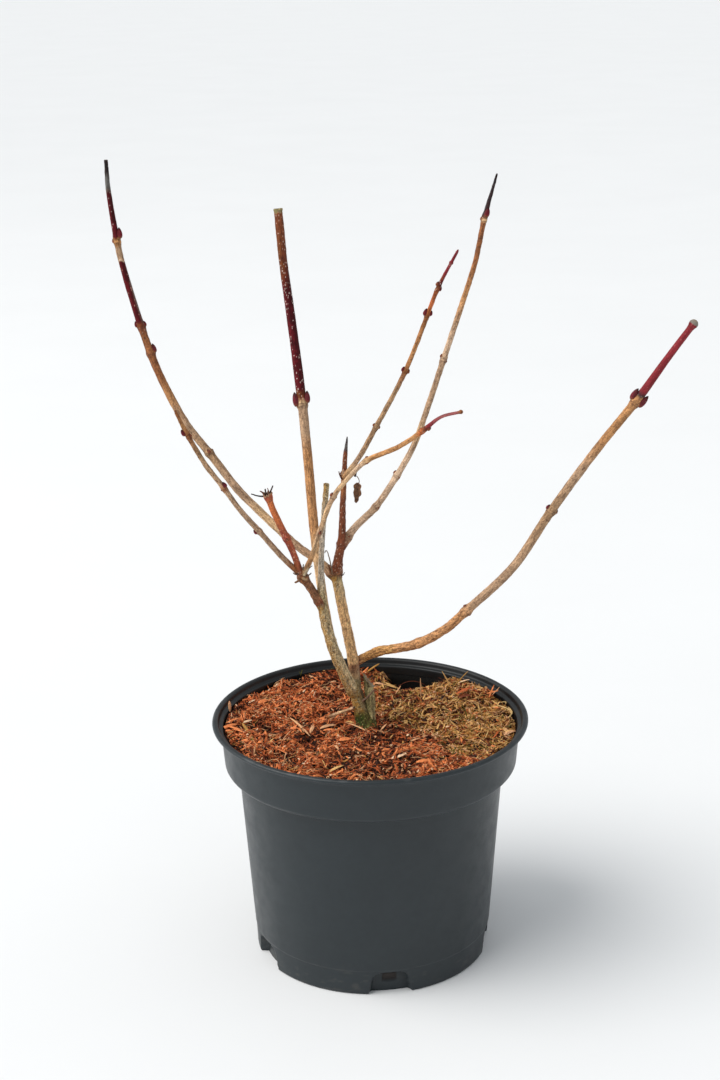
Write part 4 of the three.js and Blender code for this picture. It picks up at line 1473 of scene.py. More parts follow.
@dataclass
class GrowingMedium:
    """The coarse growing medium: a filled body under a lumpy, uneven surface.

    Attributes:
        level: its height at the trunk, mm.
        brim: its radius at the top.
        sides: radius and height from the middle of its underside up to near the top.
        foot: x and y of the trunk's foot.
        seat: radius of the flat seat under the trunk.
        swells: broad humps and hollows: x, y, rise and spread.
        moods: bright, dry patches and dark ones, partly damp and partly painted shade: x, y,
            strength and spread.
        settled: how far the lumpy surface has sunk below the broad one, mm.
        columns: places round it.
        rings: rings across the top.
    """

    level: float = 140.4
    brim: float = 87.2
    sides: tuple[Pair, ...] = (
        (0.6, 5), (63.9, 5), (63.9, 16), (70.9, 21), (77.5, 117), (82.8, 118.2), (85.8, 121.2),
    )
    foot: Pair = (-1.8, 0.0)
    seat: float = 9.0
    swells: tuple[Four, ...] = (
        (-74, 8, 1.1, 24), (26, 79, -15, 17), (-36, 68, 1.2, 24), (68, 46, 3.4, 22),
        (-62, -7, -5, 7), (10, -50, 0.8, 26), (-15, 1, -3, 6), (-38, -22, -2.5, 7),
        (-76, -22, 2.2, 9), (74, 62, -5, 9), (24, 2, -2.4, 8), (-78, 26, 1.5, 9),
    )
    moods: tuple[Four, ...] = (
        (-64, 42, 0.65, 18), (-40, 24, 0.4, 20), (-36, 74, -0.7, 17), (-64, -5, -1.2, 8),
        (-84, 26, -0.5, 12), (16, -4, -1.4, 13), (8, -60, -0.7, 26), (-16, 2, -0.8, 6),
        (-40, 13, -0.5, 7), (20, 46, -0.8, 9), (60, 45, 0.4, 12), (-22, -20, 0.4, 10),
        (62, -4, 0.3, 24), (34, 36, 0.4, 7), (28, 78, -1.5, 17), (-50, -50, 0.1, 18),
    )
    settled: float = 1.4
    columns: int = 400
    rings: int = 110

    def broad(self, x: Array, y: Array) -> Array:
        """Height of the medium without its lumps.

        It climbs with the fourth power of the distance from the middle, each swell adds a
        bell, a gap of uneven depth runs along the wall, and all fade out under the trunk.

        Args:
            x, y: places to the right and to the back, mm.

        Returns:
            The height, mm.
        """
        rise = 2.6 * (np.hypot(x, y) / 87.5) ** 4
        for spot_x, spot_y, height, spread in self.swells:
            rise = rise + height * bell(x, y, spot_x, spot_y, spread)
        turn = np.arctan2(y, x)
        gap = 1.6 + 1.4 * np.sin(3 * turn + 0.4) + np.sin(5 * turn + 2.2)
        rise = rise - gap * smooth(self.brim - 5, self.brim - 1, np.hypot(x, y))
        away = np.hypot(x - self.foot[0], y - self.foot[1]) - self.seat
        return self.level + rise * smooth(0, 9, away)

    def surface(self, x: Array, y: Array) -> Array:
        """Height of the medium with its lumps: two layers of noise on the broad shape."""
        return (self.broad(x, y) - self.settled + 3.0 * ground_noise(x, y, 9.0, 2, 401)
                + 1.4 * ground_noise(x, y, 3.0, 3, 407))

    def mood(self, x: Array, y: Array) -> Array:
        """How bright the litter is at a place, about -1 to 1: partly dryness, partly painted light
        and shade.

        Noise in lumps, the height of the surface's own lumps as painted light and shade, and a bell
        for each patch.

        Args:
            x, y: places to the right and to the back, mm.

        Returns:
            The mood.
        """
        total = 0.8 * ground_noise(x, y, 7.0, 3, 433)
        # Painted light and shade: lump tops count brighter, low spots darker.
        total = total + 0.16 * (self.surface(x, y) - self.broad(x, y) + self.settled)
        # Some dark patches lie where shadows fall, as painted shade.
        for spot_x, spot_y, strength, spread in self.moods:
            total = total + strength * bell(x, y, spot_x, spot_y, spread)
        return total

    def dress(self) -> None:
        """Build the body: up the pot's inside, then in across the lumpy top."""
        walls = np.array([*self.sides, (self.brim, self.level - 1)])
        walls = divided(walls, np.full(len(walls) - 1, 6.0))
        inward = np.linspace(self.brim, self.sides[0][0], self.rings)
        radius = np.concatenate([walls[:, 0], inward])[:, None]
        turn = round_turn(self.columns)[None, :]
        x, y = radius * np.cos(turn), radius * np.sin(turn)
        height = np.broadcast_to(np.concatenate([walls[:, 1], inward * 0])[:, None], x.shape).copy()
        top = slice(len(walls), None)
        height[top] = self.surface(x[top], y[top])
        points = np.stack([x, y, height], axis=-1)
        damp = fractal(points / 5.0, 3, 421)
        # Painted shade: where the lumpy top sinks below its broad shape, it is darkened.
        low = smooth(1.2, -1.2, height - self.broad(x, y) + 1.2)
        tint = mixed(painted(PEAT, points), DRY_PEAT, smooth(0.0, 0.6, damp))
        tint = mixed(tint, LOW_SPOT_SHADE, low)
        tint = mixed(tint, GAP_SHADE, smooth(-2, -6, self.broad(x, y) - self.level))
        parts = MeshParts()
        parts.add_grid(Grid(points * MM, tint))
        deliver(parts.write("medium_body", MEDIUM), "growing_medium", "growing_medium")


# Patches without straw on the strawy side: x, y and spread in mm.
STRAWLESS = ((12, 41, 10), (61, 45, 9), (34, 36, 6), (78, 44, 8))


class Zone(Enum):
    """Where a kind of litter lies on the medium."""

    ALL = "everywhere"
    FIBROUS = "the fibrous front and left"
    STRAWY = "the straw-strewn right and back"

    def weight(self, x: Array, y: Array) -> Array:
        """How likely a scrap of this zone is to lie at a place.

        Args:
            x, y: places to the right and to the back, mm.

        Returns:
            The likelihood from 0 to 1.
        """
        blot = 9 * ground_noise(x, y, 16.0, 2, 431)
        straw = smooth(-4, 9, 0.768 * x + 0.64 * (y - 20) + blot) * smooth(-4, 14, x + blot)
        for bare_patch in STRAWLESS:
            straw = straw * (1 - 0.8 * bell(x, y, *bare_patch))
        if self is Zone.STRAWY:
            return 0.03 + 0.97 * straw
        if self is Zone.FIBROUS:
            return 1 - 0.86 * straw
        return np.ones(x.shape)


class Form(Enum):
    """The shapes of scraps that lie on the medium."""

    CRUMB = "a rough grain"
    SPLINTER = "a flat tapered splinter"
    STRAND = "a long bent strand"


@dataclass(frozen=True)
class Kind:
    """One kind of scrap in one colour.

    Attributes:
        name: the piece's name.
        colour: its base colour, in display values from 0 to 255.
        form: its shape.
        count: how many lie there.
        zone: where.
        length: shortest and longest, mm.
        width: thinnest and thickest, mm; for a crumb, as a share of its length.
        flat: how flat its cross-section is.
        lift: lowest and highest above the medium, mm.
        arch: how far its middle rises, as a share of its length.
        tilt: how steeply it may slope, as a share of its length.
        bend: how far its heading turns, radians.
        leaning: how far it keeps to bright patches, or below 0 to dark ones, from -1 to 1.
    """

    name: str
    colour: Shade
    form: Form
    count: int
    zone: Zone
    length: Pair
    width: Pair
    flat: float = 0.4
    lift: Pair = (-0.4, 1.6)
    arch: float = 0.05
    tilt: float = 0.34
    bend: float = 0.35
    leaning: float = 0.0


KINDS = (
    Kind("crumbs_dark", (38, 19, 12), Form.CRUMB, 4600, Zone.ALL, (0.7, 2.6), (0.6, 1.0), 0.9,
         leaning=-0.9),
    Kind("crumbs_brown", (106, 53, 31), Form.CRUMB, 4200, Zone.ALL, (0.6, 2.4), (0.6, 1.0), 0.9,
         leaning=-0.4),
    Kind("crumbs_rust", (178, 94, 52), Form.CRUMB, 4200, Zone.FIBROUS, (0.5, 2.2), (0.6, 1.0),
         0.9, leaning=0.5),
    Kind("crumbs_olive", (174, 120, 64), Form.CRUMB, 3200, Zone.STRAWY, (0.5, 2.0), (0.6, 1.0),
         0.9, leaning=0.3),
    Kind("splinters_orange", (226, 134, 80), Form.SPLINTER, 1800, Zone.FIBROUS, (2.4, 9.5),
         (0.5, 1.9), leaning=0.9),
    Kind("splinters_rust", (180, 92, 50), Form.SPLINTER, 2600, Zone.FIBROUS, (2, 9), (0.5, 1.8),
         leaning=0.3),
    Kind("splinters_brown", (110, 53, 31), Form.SPLINTER, 2800, Zone.ALL, (1.8, 8), (0.4, 1.8),
         leaning=-0.5),
    Kind("splinters_dark", (48, 25, 16), Form.SPLINTER, 2200, Zone.ALL, (2, 8), (0.5, 2.2),
         leaning=-0.95),
    Kind("splinters_pale", (240, 200, 162), Form.SPLINTER, 700, Zone.ALL, (1.0, 4.0), (0.4, 1.4),
         lift=(0.2, 1.9), leaning=0.6),
    Kind("splinters_tan", (218, 164, 120), Form.SPLINTER, 1100, Zone.ALL, (1.8, 7), (0.4, 1.6),
         lift=(0.0, 1.8), leaning=0.7),
    Kind("splinters_olive", (186, 130, 68), Form.SPLINTER, 2200, Zone.STRAWY, (1.8, 7.5),
         (0.4, 1.3), leaning=0.2),
    Kind("splinters_straw", (228, 178, 112), Form.SPLINTER, 1500, Zone.STRAWY, (1.8, 8),
         (0.4, 1.2), lift=(0.0, 2.0), leaning=0.6),
    Kind("fibres_rust", (202, 106, 58), Form.STRAND, 1500, Zone.FIBROUS, (4, 12), (0.25, 0.55),
         0.7, (0.1, 2.0), 0.08, 0.2, 0.6, 0.5),
    Kind("fibres_brown", (100, 49, 28), Form.STRAND, 1200, Zone.ALL, (4, 12), (0.25, 0.6), 0.7,
         (0.0, 1.8), 0.08, 0.2, 0.6, -0.6),
    Kind("fibres_tan", (220, 168, 122), Form.STRAND, 420, Zone.ALL, (4, 15), (0.22, 0.5), 0.7,
         (0.4, 2.2), 0.1, 0.2, 0.5, 0.7),
    Kind("straw_olive", (178, 130, 66), Form.STRAND, 800, Zone.STRAWY, (3, 10), (0.3, 0.7), 0.4,
         (0.2, 2.2), 0.05, 0.25, 0.25),
    Kind("straw_pale", (220, 182, 122), Form.STRAND, 200, Zone.STRAWY, (3, 11), (0.3, 0.7), 0.4,
         (0.5, 2.4), 0.05, 0.25, 0.2, 0.4),
    Kind("moss_green", (96, 94, 36), Form.STRAND, 460, Zone.STRAWY, (1.6, 5), (0.3, 0.7), 0.5,
         (0.3, 2.0), 0.15, 0.5, 0.8, -0.2),
)


# Scraps with a place of their own, by kind: right and down of one end in the camera's frame,
# the same for the other end, greatest width and how far the middle rises in mm, and 1 where
# it stands up or 0 where it lies on the medium.
SCRAPS = {
    "splinters_pale": (
        (249, 707.5, 255.4, 702.6, 1.7, 0.2, 0), (243.8, 725.6, 251.8, 722.6, 2.4, 0.3, 0),
        (269.6, 735, 271.4, 733.4, 1.2, 0.2, 0), (231.8, 721, 231.8, 716, 1.6, 0, 1),
        (338.6, 744, 340, 743, 1.1, 0.2, 0), (349, 758.6, 350.4, 757.6, 1.1, 0.2, 0),
        (458, 687, 469.6, 683.6, 1.6, 0.3, 1), (467.8, 721.4, 469, 719.6, 1, 0.2, 0),
        (397.6, 758.6, 405.4, 754.6, 2.6, 0.4, 0), (446, 727, 449.6, 726, 1.6, 0.3, 0),
        (415.2, 689.6, 416.6, 688.6, 1.3, 0.3, 0), (313.2, 697, 315.4, 690.6, 1.4, 0, 1),
    ),
    "splinters_orange": (
        (259.5, 706, 266.5, 701.5, 4.6, 0.3, 0), (222, 733, 237, 727.5, 3.4, 0.8, 0),
        (223, 736, 232, 735, 3, 0.6, 0), (228, 730, 243, 737.5, 2.2, 0.8, 0),
        (232, 733, 246, 739, 1.6, 0.8, 0), (226, 727, 243.6, 721, 1.6, 0.8, 0),
        (257.7, 745, 263.2, 744, 2.8, 0.8, 0), (323, 730, 335, 729, 2.6, 0.6, 0),
        (338, 740, 351, 738, 4.6, 0.4, 0), (489, 702, 494, 689.6, 2.6, 0, 1),
        (486.6, 699, 500.6, 693, 2.2, 0.3, 1), (416, 763.6, 431, 761.4, 3.6, 0.6, 0),
    ),
    "straw_olive": (
        (242.4, 726, 253.6, 743.4, 2.4, 0.6, 0), (388, 714, 399.5, 706.8, 1.1, 0.6, 0),
        (366.7, 672.5, 379.4, 659.5, 3.2, 0.2, 1), (453.6, 689.4, 468.4, 676.4, 1.6, 0, 1),
        (445.4, 716.4, 463, 714.6, 1.4, 0.6, 0),
    ),
    "moss_green": (
        (245, 731, 252, 744, 2.2, 0.2, 0), (468.4, 721, 462.2, 702.8, 0.9, 0, 1),
        (467.6, 720, 465.2, 707, 0.9, 0, 1), (468.4, 721, 471.6, 712, 0.9, 0, 1),
        (467.8, 720.6, 459.8, 713.6, 0.8, 0.2, 1), (468.8, 721, 476, 715.6, 0.8, 0.2, 1),
        (451.6, 757, 456, 747.6, 1, 0, 1), (457, 757.4, 459.6, 746.6, 1, 0, 1),
        (462.6, 756.6, 460.6, 748.6, 0.9, 0, 1), (448, 752, 455, 749.6, 0.9, 0.2, 1),
        (297, 675, 299.4, 669, 0.8, 0, 1), (297.4, 675, 295.4, 670, 0.8, 0, 1),
    ),
    "splinters_tan": (
        (244.5, 729, 255, 744.6, 0.9, 0.9, 0), (222.6, 714.2, 220.6, 704, 2, 0, 1),
        (254, 757.6, 255.5, 747, 2.1, 0, 1), (320, 728, 336, 722.5, 3.4, 0.9, 0),
        (310.4, 732, 313.4, 725, 2.2, 0.4, 0), (345, 720, 368.6, 731.6, 1.5, 0.8, 0),
        (380.6, 728.8, 386.6, 722.6, 2.6, 0, 1), (356.6, 763.6, 356.2, 755, 1.5, 0, 1),
        (373, 681.4, 385, 679.6, 3, 0.4, 1), (492, 700, 500, 689, 1.4, 0, 1),
        (504, 737.6, 517, 730, 3, 0.8, 0), (395.2, 693, 400.8, 684.4, 2, 0, 1),
        (411, 741, 420, 738, 1.6, 0.4, 0),
    ),
    "fibres_tan": (
        (280.7, 743, 292.8, 729, 0.7, 0.6, 0), (283.4, 768, 285.8, 754, 1, 0, 1),
        (290, 718, 309.6, 734, 1.8, 0.8, 0), (421, 699, 420.4, 677.6, 0.9, 0, 1),
        (299, 690.6, 318, 684.6, 0.8, 0.8, 0),
    ),
    "splinters_brown": (
        (253.5, 739, 269.8, 737, 1.6, 0.6, 0), (458, 700, 472, 699, 3.4, 0.3, 1),
    ),
    "splinters_straw": (
        (345.6, 719.6, 354.6, 722.6, 2.4, 0.6, 0), (329.5, 773.5, 343.3, 766, 2.2, 0.6, 0),
        (380, 676, 398.5, 672.6, 2.8, 0.4, 1), (382, 679, 396, 676, 1.8, 0.3, 1),
        (452.6, 692.4, 442, 672.8, 2.1, 0, 1), (499, 711, 512, 712, 2.2, 0.5, 0),
        (506, 735, 514, 729.5, 2.6, 0.6, 0), (424, 700, 434, 697, 2, 0.4, 0),
    ),
    "fibres_brown": (
        (394, 680, 428, 679.2, 0.6, 5, 1),
    ),
    "splinters_rust": (
        (456, 697, 470, 693, 4.2, 0.5, 1),
    ),
    "straw_pale": (
        (497, 708.4, 516, 713.4, 2, 0.8, 0), (500, 706, 519.6, 704.4, 1.4, 0.8, 0),
        (508, 720.6, 521, 706.6, 1, 0.6, 0),
    ),
}


@dataclass
class Litter:
    """Everything that lies loose on the growing medium, each kind joined into one mesh.

    Attributes:
        medium: what it lies on.
        view: the camera, in whose frame the placed scraps have their places.
        top: height at which its lines of sight meet the medium, mm.
        lying: how high above the medium a placed scrap lies, mm.
        reach: how far from the middle it may lie, mm.
        tries: places drawn for each scrap that is wanted.
        seed: starts the random numbers.
    """

    medium: GrowingMedium
    view: View
    top: float = 142.2
    lying: float = 0.4
    reach: float = 86.6
    tries: int = 12
    seed: int = 7

    def spots(self, kind: Kind, rng: np.random.Generator) -> Array:
        """Draw even places on the disc and keep them as the kind's zone and leaning allow.

        Args:
            kind: the kind of scrap.
            rng: the random numbers.

        Returns:
            (count, 2) places in mm.
        """
        tries = kind.count * self.tries
        radius = self.reach * np.sqrt(rng.random(tries))
        turn = rng.random(tries) * TURN
        x, y = radius * np.cos(turn), radius * np.sin(turn)
        liked = smooth(-0.35, 0.45, math.copysign(1, kind.leaning) * self.medium.mood(x, y))
        sound = 0.05 + 0.95 * smooth(-7, -3, self.medium.broad(x, y) - self.medium.level)
        share = kind.zone.weight(x, y) * (1 - abs(kind.leaning) * (1 - liked)) * sound
        kept = rng.random(tries) < share
        return np.stack([x, y], axis=-1)[kept][:kind.count]

    def held_in(self, points: Array) -> Array:
        """Draw places beyond the reach back to it, so that nothing passes the pot's wall.

        Args:
            points: places, last axis x, y, z, mm.

        Returns:
            The places within the reach.
        """
        radius = np.linalg.norm(points[..., :2], axis=-1, keepdims=True)
        share = np.minimum(1.0, self.reach / np.maximum(radius, 1e-6))
        return np.concatenate([points[..., :2] * share, points[..., 2:]], axis=-1)

    def strewn(self, kind: Kind, spots: Array, steps: int,
               rng: np.random.Generator) -> tuple[Array, Array]:
        """Lay splinters or strands at random.

        Nearly half the headings start near the one that their lump of litter has, the rest
        anywhere; each turns steadily and in one slow wave. The height is the medium's,
        averaged along the scrap, plus its lift, an arch and a slope.

        Args:
            kind: the kind of scrap.
            spots: (count, 2) places of their middles, mm.
            steps: points along each.
            rng: the random numbers.

        Returns:
            (count, steps, 3) paths in mm and (count, steps) half widths.
        """
        count = len(spots)
        share = np.linspace(-0.5, 0.5, steps)[None, :]
        length = rng.uniform(*kind.length, count)[:, None] * rng.uniform(0.5, 1, count)[:, None]
        lump = ground_noise(spots[:, 0], spots[:, 1], 18.0, 2, 451)
        combed = 0.8 * TURN * lump + rng.normal(0, 0.45, count)
        heading = np.where(rng.random(count) < 0.45, combed, rng.uniform(0, TURN, count))
        heading = (heading[:, None] + rng.normal(0, kind.bend, count)[:, None] * share * 2
                   + rng.normal(0, kind.bend / 2, count)[:, None] * np.sin(share * 9))
        step = length / (steps - 1)
        x = np.cumsum(np.cos(heading) * step, axis=1)
        y = np.cumsum(np.sin(heading) * step, axis=1)
        x += spots[:, :1] - x.mean(axis=1, keepdims=True)
        y += spots[:, 1:] - y.mean(axis=1, keepdims=True)
        paths = self.held_in(np.stack([x, y, 0 * x], axis=-1))
        ground = self.medium.surface(paths[..., 0], paths[..., 1])
        ground = 0.35 * ground + 0.65 * ground.mean(axis=1, keepdims=True)
        lift = rng.uniform(*kind.lift, count)[:, None]
        arch = rng.normal(kind.arch, kind.arch, count)[:, None] * length * (1 - 4 * share ** 2)
        slope = rng.normal(0, kind.tilt, count)[:, None] * length * share
        paths[..., 2] = ground + lift + arch + np.abs(slope) * 0.4 + slope
        peak = rng.uniform(-0.25, 0.25, count)[:, None]
        swell = np.sqrt(np.clip(1 - (2 * (share - peak * (1 - 4 * share ** 2))) ** 2, 0, 1))
        width = rng.uniform(*kind.width, count)[:, None] / 2
        return paths, width * (0.22 + 0.78 * swell)

    def laid(self, kind: Kind, steps: int) -> tuple[Array, Array]:
        """Lay the scraps that have a place of their own.

        One end is where its line of sight meets the medium. The other is found in the same
        way, or straight above the first one's depth where the scrap stands up.

        Args:
            kind: the kind of scrap.
            steps: points along each.

        Returns:
            (count, steps, 3) paths in mm and (count, steps) half widths.
        """
        own = np.array(SCRAPS.get(kind.name, ()), float).reshape(-1, 7)
        standing = own[:, 6:] > 0
        start = self.view.meet(own[:, :2], 2, self.top)
        stop = np.where(standing, self.view.meet(own[:, 2:4], 1, start[:, 1]),
                        self.view.meet(own[:, 2:4], 2, self.top))
        lift = np.where(standing, 0.0, self.lying) - self.top
        start, stop = ((end + lift * np.array([0, 0, 1]))[:, None] for end in (start, stop))
        share = np.linspace(0, 1, steps)[None, :, None]
        paths = self.held_in(start * (1 - share) + stop * share)
        first, last = (self.medium.broad(end[..., 0], end[..., 1]) for end in (start, stop))
        share = share[..., 0]
        paths[..., 2] += first * (1 - share) + last * share + 1.0
        paths[..., 2] += own[:, 5:6] * 4 * share * (1 - share)
        swell = np.sqrt(np.clip(1 - (2 * share - 1) ** 2, 0, 1))
        return paths, own[:, 4:5] / 2 * (0.3 + 0.7 * swell)

    def slivers(self, kind: Kind, rng: np.random.Generator) -> Faces:
        """Build a kind of splinter or strand.

        Args:
            kind: the kind of scrap.
            rng: the random numbers.

        Returns:
            Vertices in mm, quads and triangles.
        """
        steps = 5 if kind.form is Form.SPLINTER else 8
        strewn, strewn_width = self.strewn(kind, self.spots(kind, rng), steps, rng)
        laid, laid_width = self.laid(kind, steps)
        paths = np.concatenate([strewn, laid])
        roll = np.concatenate([rng.normal(0, 0.6, len(strewn)), np.zeros(len(laid))])
        return tubes(paths, np.concatenate([strewn_width, laid_width]), kind.flat, roll)

    def grains(self, kind: Kind, rng: np.random.Generator) -> Faces:
        """Drop rough grains on the surface, each turned and dented its own way.

        Args:
            kind: the kind of scrap.
            rng: the random numbers.

        Returns:
            Vertices in mm, quads and triangles.
        """
        spots = self.spots(kind, rng)
        count = len(spots)
        shape, quads, triangles = CRUMB_SHAPE
        size = kind.length[0] + (kind.length[1] - kind.length[0]) * rng.random(count) ** 2.2
        wide = rng.uniform(*kind.width, count)
        thick = wide * kind.flat * rng.uniform(0.7, 1.4, count)
        scale = np.stack([size, size * wide, size * thick], axis=-1)[:, None, :]
        dent = 1 + 0.2 * rng.standard_normal((count, len(shape), 1))
        body = shape[None] * scale * np.clip(dent, 0.6, 1.4) / 2
        body = turned_about(body, rng.normal(0, 0.45, count), 1, 2)
        body = turned_about(body, rng.normal(0, 0.45, count), 0, 2)
        body = turned_about(body, rng.uniform(0, TURN, count), 0, 1)
        ground = self.medium.surface(spots[:, 0], spots[:, 1])
        rise = ground + rng.uniform(*kind.lift, count) * 0.8
        middle = np.concatenate([spots, rise[:, None]], axis=1)[:, None, :]
        points = self.held_in(body + middle).reshape(-1, 3)
        first = np.arange(count)[:, None, None] * len(shape)
        return points, quads, (triangles[None] + first).reshape(-1, 3)

    def dress(self) -> None:
        """Build each kind as one joined mesh."""
        for order, kind in enumerate(KINDS):
            rng = np.random.default_rng(self.seed + order)
            make = self.grains if kind.form is Form.CRUMB else self.slivers
            points, quads, triangles = make(kind, rng)
            finish = replace(DRY_SCRAP, name=kind.name, colour=linear(*kind.colour))
            parts = MeshParts()
            parts.add(points * MM, np.array(finish.colour), quads, triangles)
            deliver(parts.write(kind.name, finish, kind.form is Form.STRAND), "growing_medium")


def turned_about(points: Array, angle: Array, first: int, second: int) -> Array:
    """Turn each group of points in one plane.

    Args:
        points: (n, m, 3) places.
        angle: (n,) radians, from the first axis towards the second.
        first: number of one axis of the plane.
        second: number of the other.

    Returns:
        The turned places.
    """
    cosine, sine = np.cos(angle)[:, None], np.sin(angle)[:, None]
    turned = points.copy()
    turned[..., first] = points[..., first] * cosine - points[..., second] * sine
    turned[..., second] = points[..., first] * sine + points[..., second] * cosine
    return turned


def tubes(paths: Array, radii: Array, flat: float, roll: Array) -> Faces:
    """Sweep a four-cornered cross-section along many paths at once.

    Beside is +Z crossed with the path's slope, above is the slope crossed with beside.

    Args:
        paths: (n, steps, 3) places.
        radii: (n, steps) half widths.
        flat: height of the cross-section as a share of its width.
        roll: (n,) how far each cross-section is turned, radians.

    Returns:
        Vertices, quads and no triangles.
    """
    count, steps = paths.shape[:2]
    slope = np.gradient(paths, axis=1)
    slope /= np.linalg.norm(slope, axis=-1, keepdims=True)
    beside = np.cross(np.array([0.0, 0.0, 1.0]), slope)
    beside /= np.linalg.norm(beside, axis=-1, keepdims=True) + 1e-9
    above = np.cross(slope, beside)
    turn = np.arange(4) * TURN / 4
    across = radii[..., None] * np.cos(turn)
    over = radii[..., None] * np.sin(turn) * flat
    cosine, sine = np.cos(roll)[:, None, None], np.sin(roll)[:, None, None]
    across, over = across * cosine - over * sine, across * sine + over * cosine
    points = (paths[:, :, None] + beside[:, :, None] * across[..., None]
              + above[:, :, None] * over[..., None])
    index = np.arange(count * steps * 4).reshape(count, steps, 4)
    following = np.roll(index, -1, axis=2)
    sides = np.stack([index[:, :-1], following[:, :-1], following[:, 1:], index[:, 1:]], axis=-1)
    starts, stops = index[:, 0, ::-1], index[:, -1]
    quads = np.concatenate([sides.reshape(-1, 4), starts, stops])
    return points.reshape(-1, 3), quads, np.zeros((0, 3), int)


def crumb_shape() -> Faces:
    """Lay out a rough grain: twelve corners at the golden ratio, twenty triangles.

    Returns:
        Corners about 1 from the middle, no quads and the triangles.
    """
    golden = (1 + math.sqrt(5)) / 2
    corners = np.array([
        (-1, golden, 0), (1, golden, 0), (-1, -golden, 0), (1, -golden, 0),
        (0, -1, golden), (0, 1, golden), (0, -1, -golden), (0, 1, -golden),
        (golden, 0, -1), (golden, 0, 1), (-golden, 0, -1), (-golden, 0, 1),
    ]) / math.hypot(1, golden)
    faces = np.array([
        (0, 11, 5), (0, 5, 1), (0, 1, 7), (0, 7, 10), (0, 10, 11), (1, 5, 9), (5, 11, 4),
        (11, 10, 2), (10, 7, 6), (7, 1, 8), (3, 9, 4), (3, 4, 2), (3, 2, 6), (3, 6, 8),
        (3, 8, 9), (4, 9, 5), (2, 4, 11), (6, 2, 10), (8, 6, 7), (9, 8, 1),
    ])
    return corners, np.zeros((0, 4), int), faces


CRUMB_SHAPE = crumb_shape()


# ---- dry remains

# Threads: x, y and z of three points, width at the start and at the tip, all in mm, and the
# display red, green and blue.
WISPS = (
    (-57.4, -33, 295.2, -61, -33, 295.2, -65.2, -33, 296.5, 1.4, 0.8, 44, 38, 38),
    (-54.8, -33.4, 297, -53.8, -33.6, 299, -52.9, -33.6, 301.4, 1.3, 0.9, 62, 44, 36),
    (-56.6, -33.8, 297, -57, -34.6, 298.4, -57, -35, 300, 1.2, 0.8, 60, 46, 40),
    (-58, -33.8, 296.4, -58.8, -34.2, 297.8, -60, -34.4, 298.6, 1.4, 0.8, 104, 60, 44),
    (-55.6, -34, 297, -55.4, -34.6, 298.6, -55.8, -35, 300.4, 1.2, 0.6, 112, 66, 46),
    (-21.4, 15, 232, -22.4, 14.6, 239.4, -24.3, 14.6, 246.5, 1.2, 0.7, 132, 112, 92),
    (-24.3, 14.6, 246.5, -25, 14.6, 246.8, -25.6, 14.6, 245.4, 0.8, 0.6, 120, 100, 82),
    (-21.8, 16.4, 233, -23, 15.6, 235.4, -23.4, 15, 238, 2.2, 1, 128, 84, 56),
    (-16, 16.4, 230.6, -14.8, 16, 231.4, -14, 16, 232.8, 1.1, 0.4, 66, 46, 34),
    (-5.8, 10.6, 298.4, -6.6, 9.8, 296, -7, 9.6, 293.6, 2.8, 1.6, 58, 40, 34),
    (-4.6, -2.4, 157.6, -1.2, -2.4, 160.6, 2.6, -1.4, 164.6, 2, 1.3, 118, 92, 72),
    (-40, -22.8, 245.6, -41.6, -23.6, 245.6, -43.4, -23.8, 246.4, 1.8, 0.8, 96, 68, 50),
    (-39.6, -23.2, 242.2, -41, -24, 241.2, -42.2, -24.2, 241, 2.2, 1.2, 124, 88, 62),
    (-36.8, -22.8, 244.6, -35.8, -23.6, 247, -34.4, -23.8, 249.6, 2.6, 1.4, 176, 156, 126),
    (-36, -22.6, 244.4, -34.2, -23.6, 245, -32.6, -23.8, 246.4, 1.4, 0.6, 86, 62, 48),
    (-36.9, -22.8, 247.4, -37.4, -23.6, 249.4, -37.2, -23.8, 251.6, 1.3, 0.7, 120, 104, 84),
    (-34.8, -22.6, 247.2, -33.8, -23.2, 249, -32.2, -23.4, 250.4, 1, 0.5, 72, 54, 44),
    (-37.6, -23.6, 243.4, -36.4, -24.4, 242.6, -35, -24.4, 242.8, 2.6, 1.4, 158, 128, 96),
    (-14.6, 15.2, 290.8, -15.8, 14.8, 293, -16.3, 14.6, 295.6, 1.8, 0.6, 92, 52, 38),
)


LEAF_TAN = linear(124, 88, 62)
LEAF_BROWN = linear(70, 46, 34)
LEAF_STALK = linear(112, 76, 54)


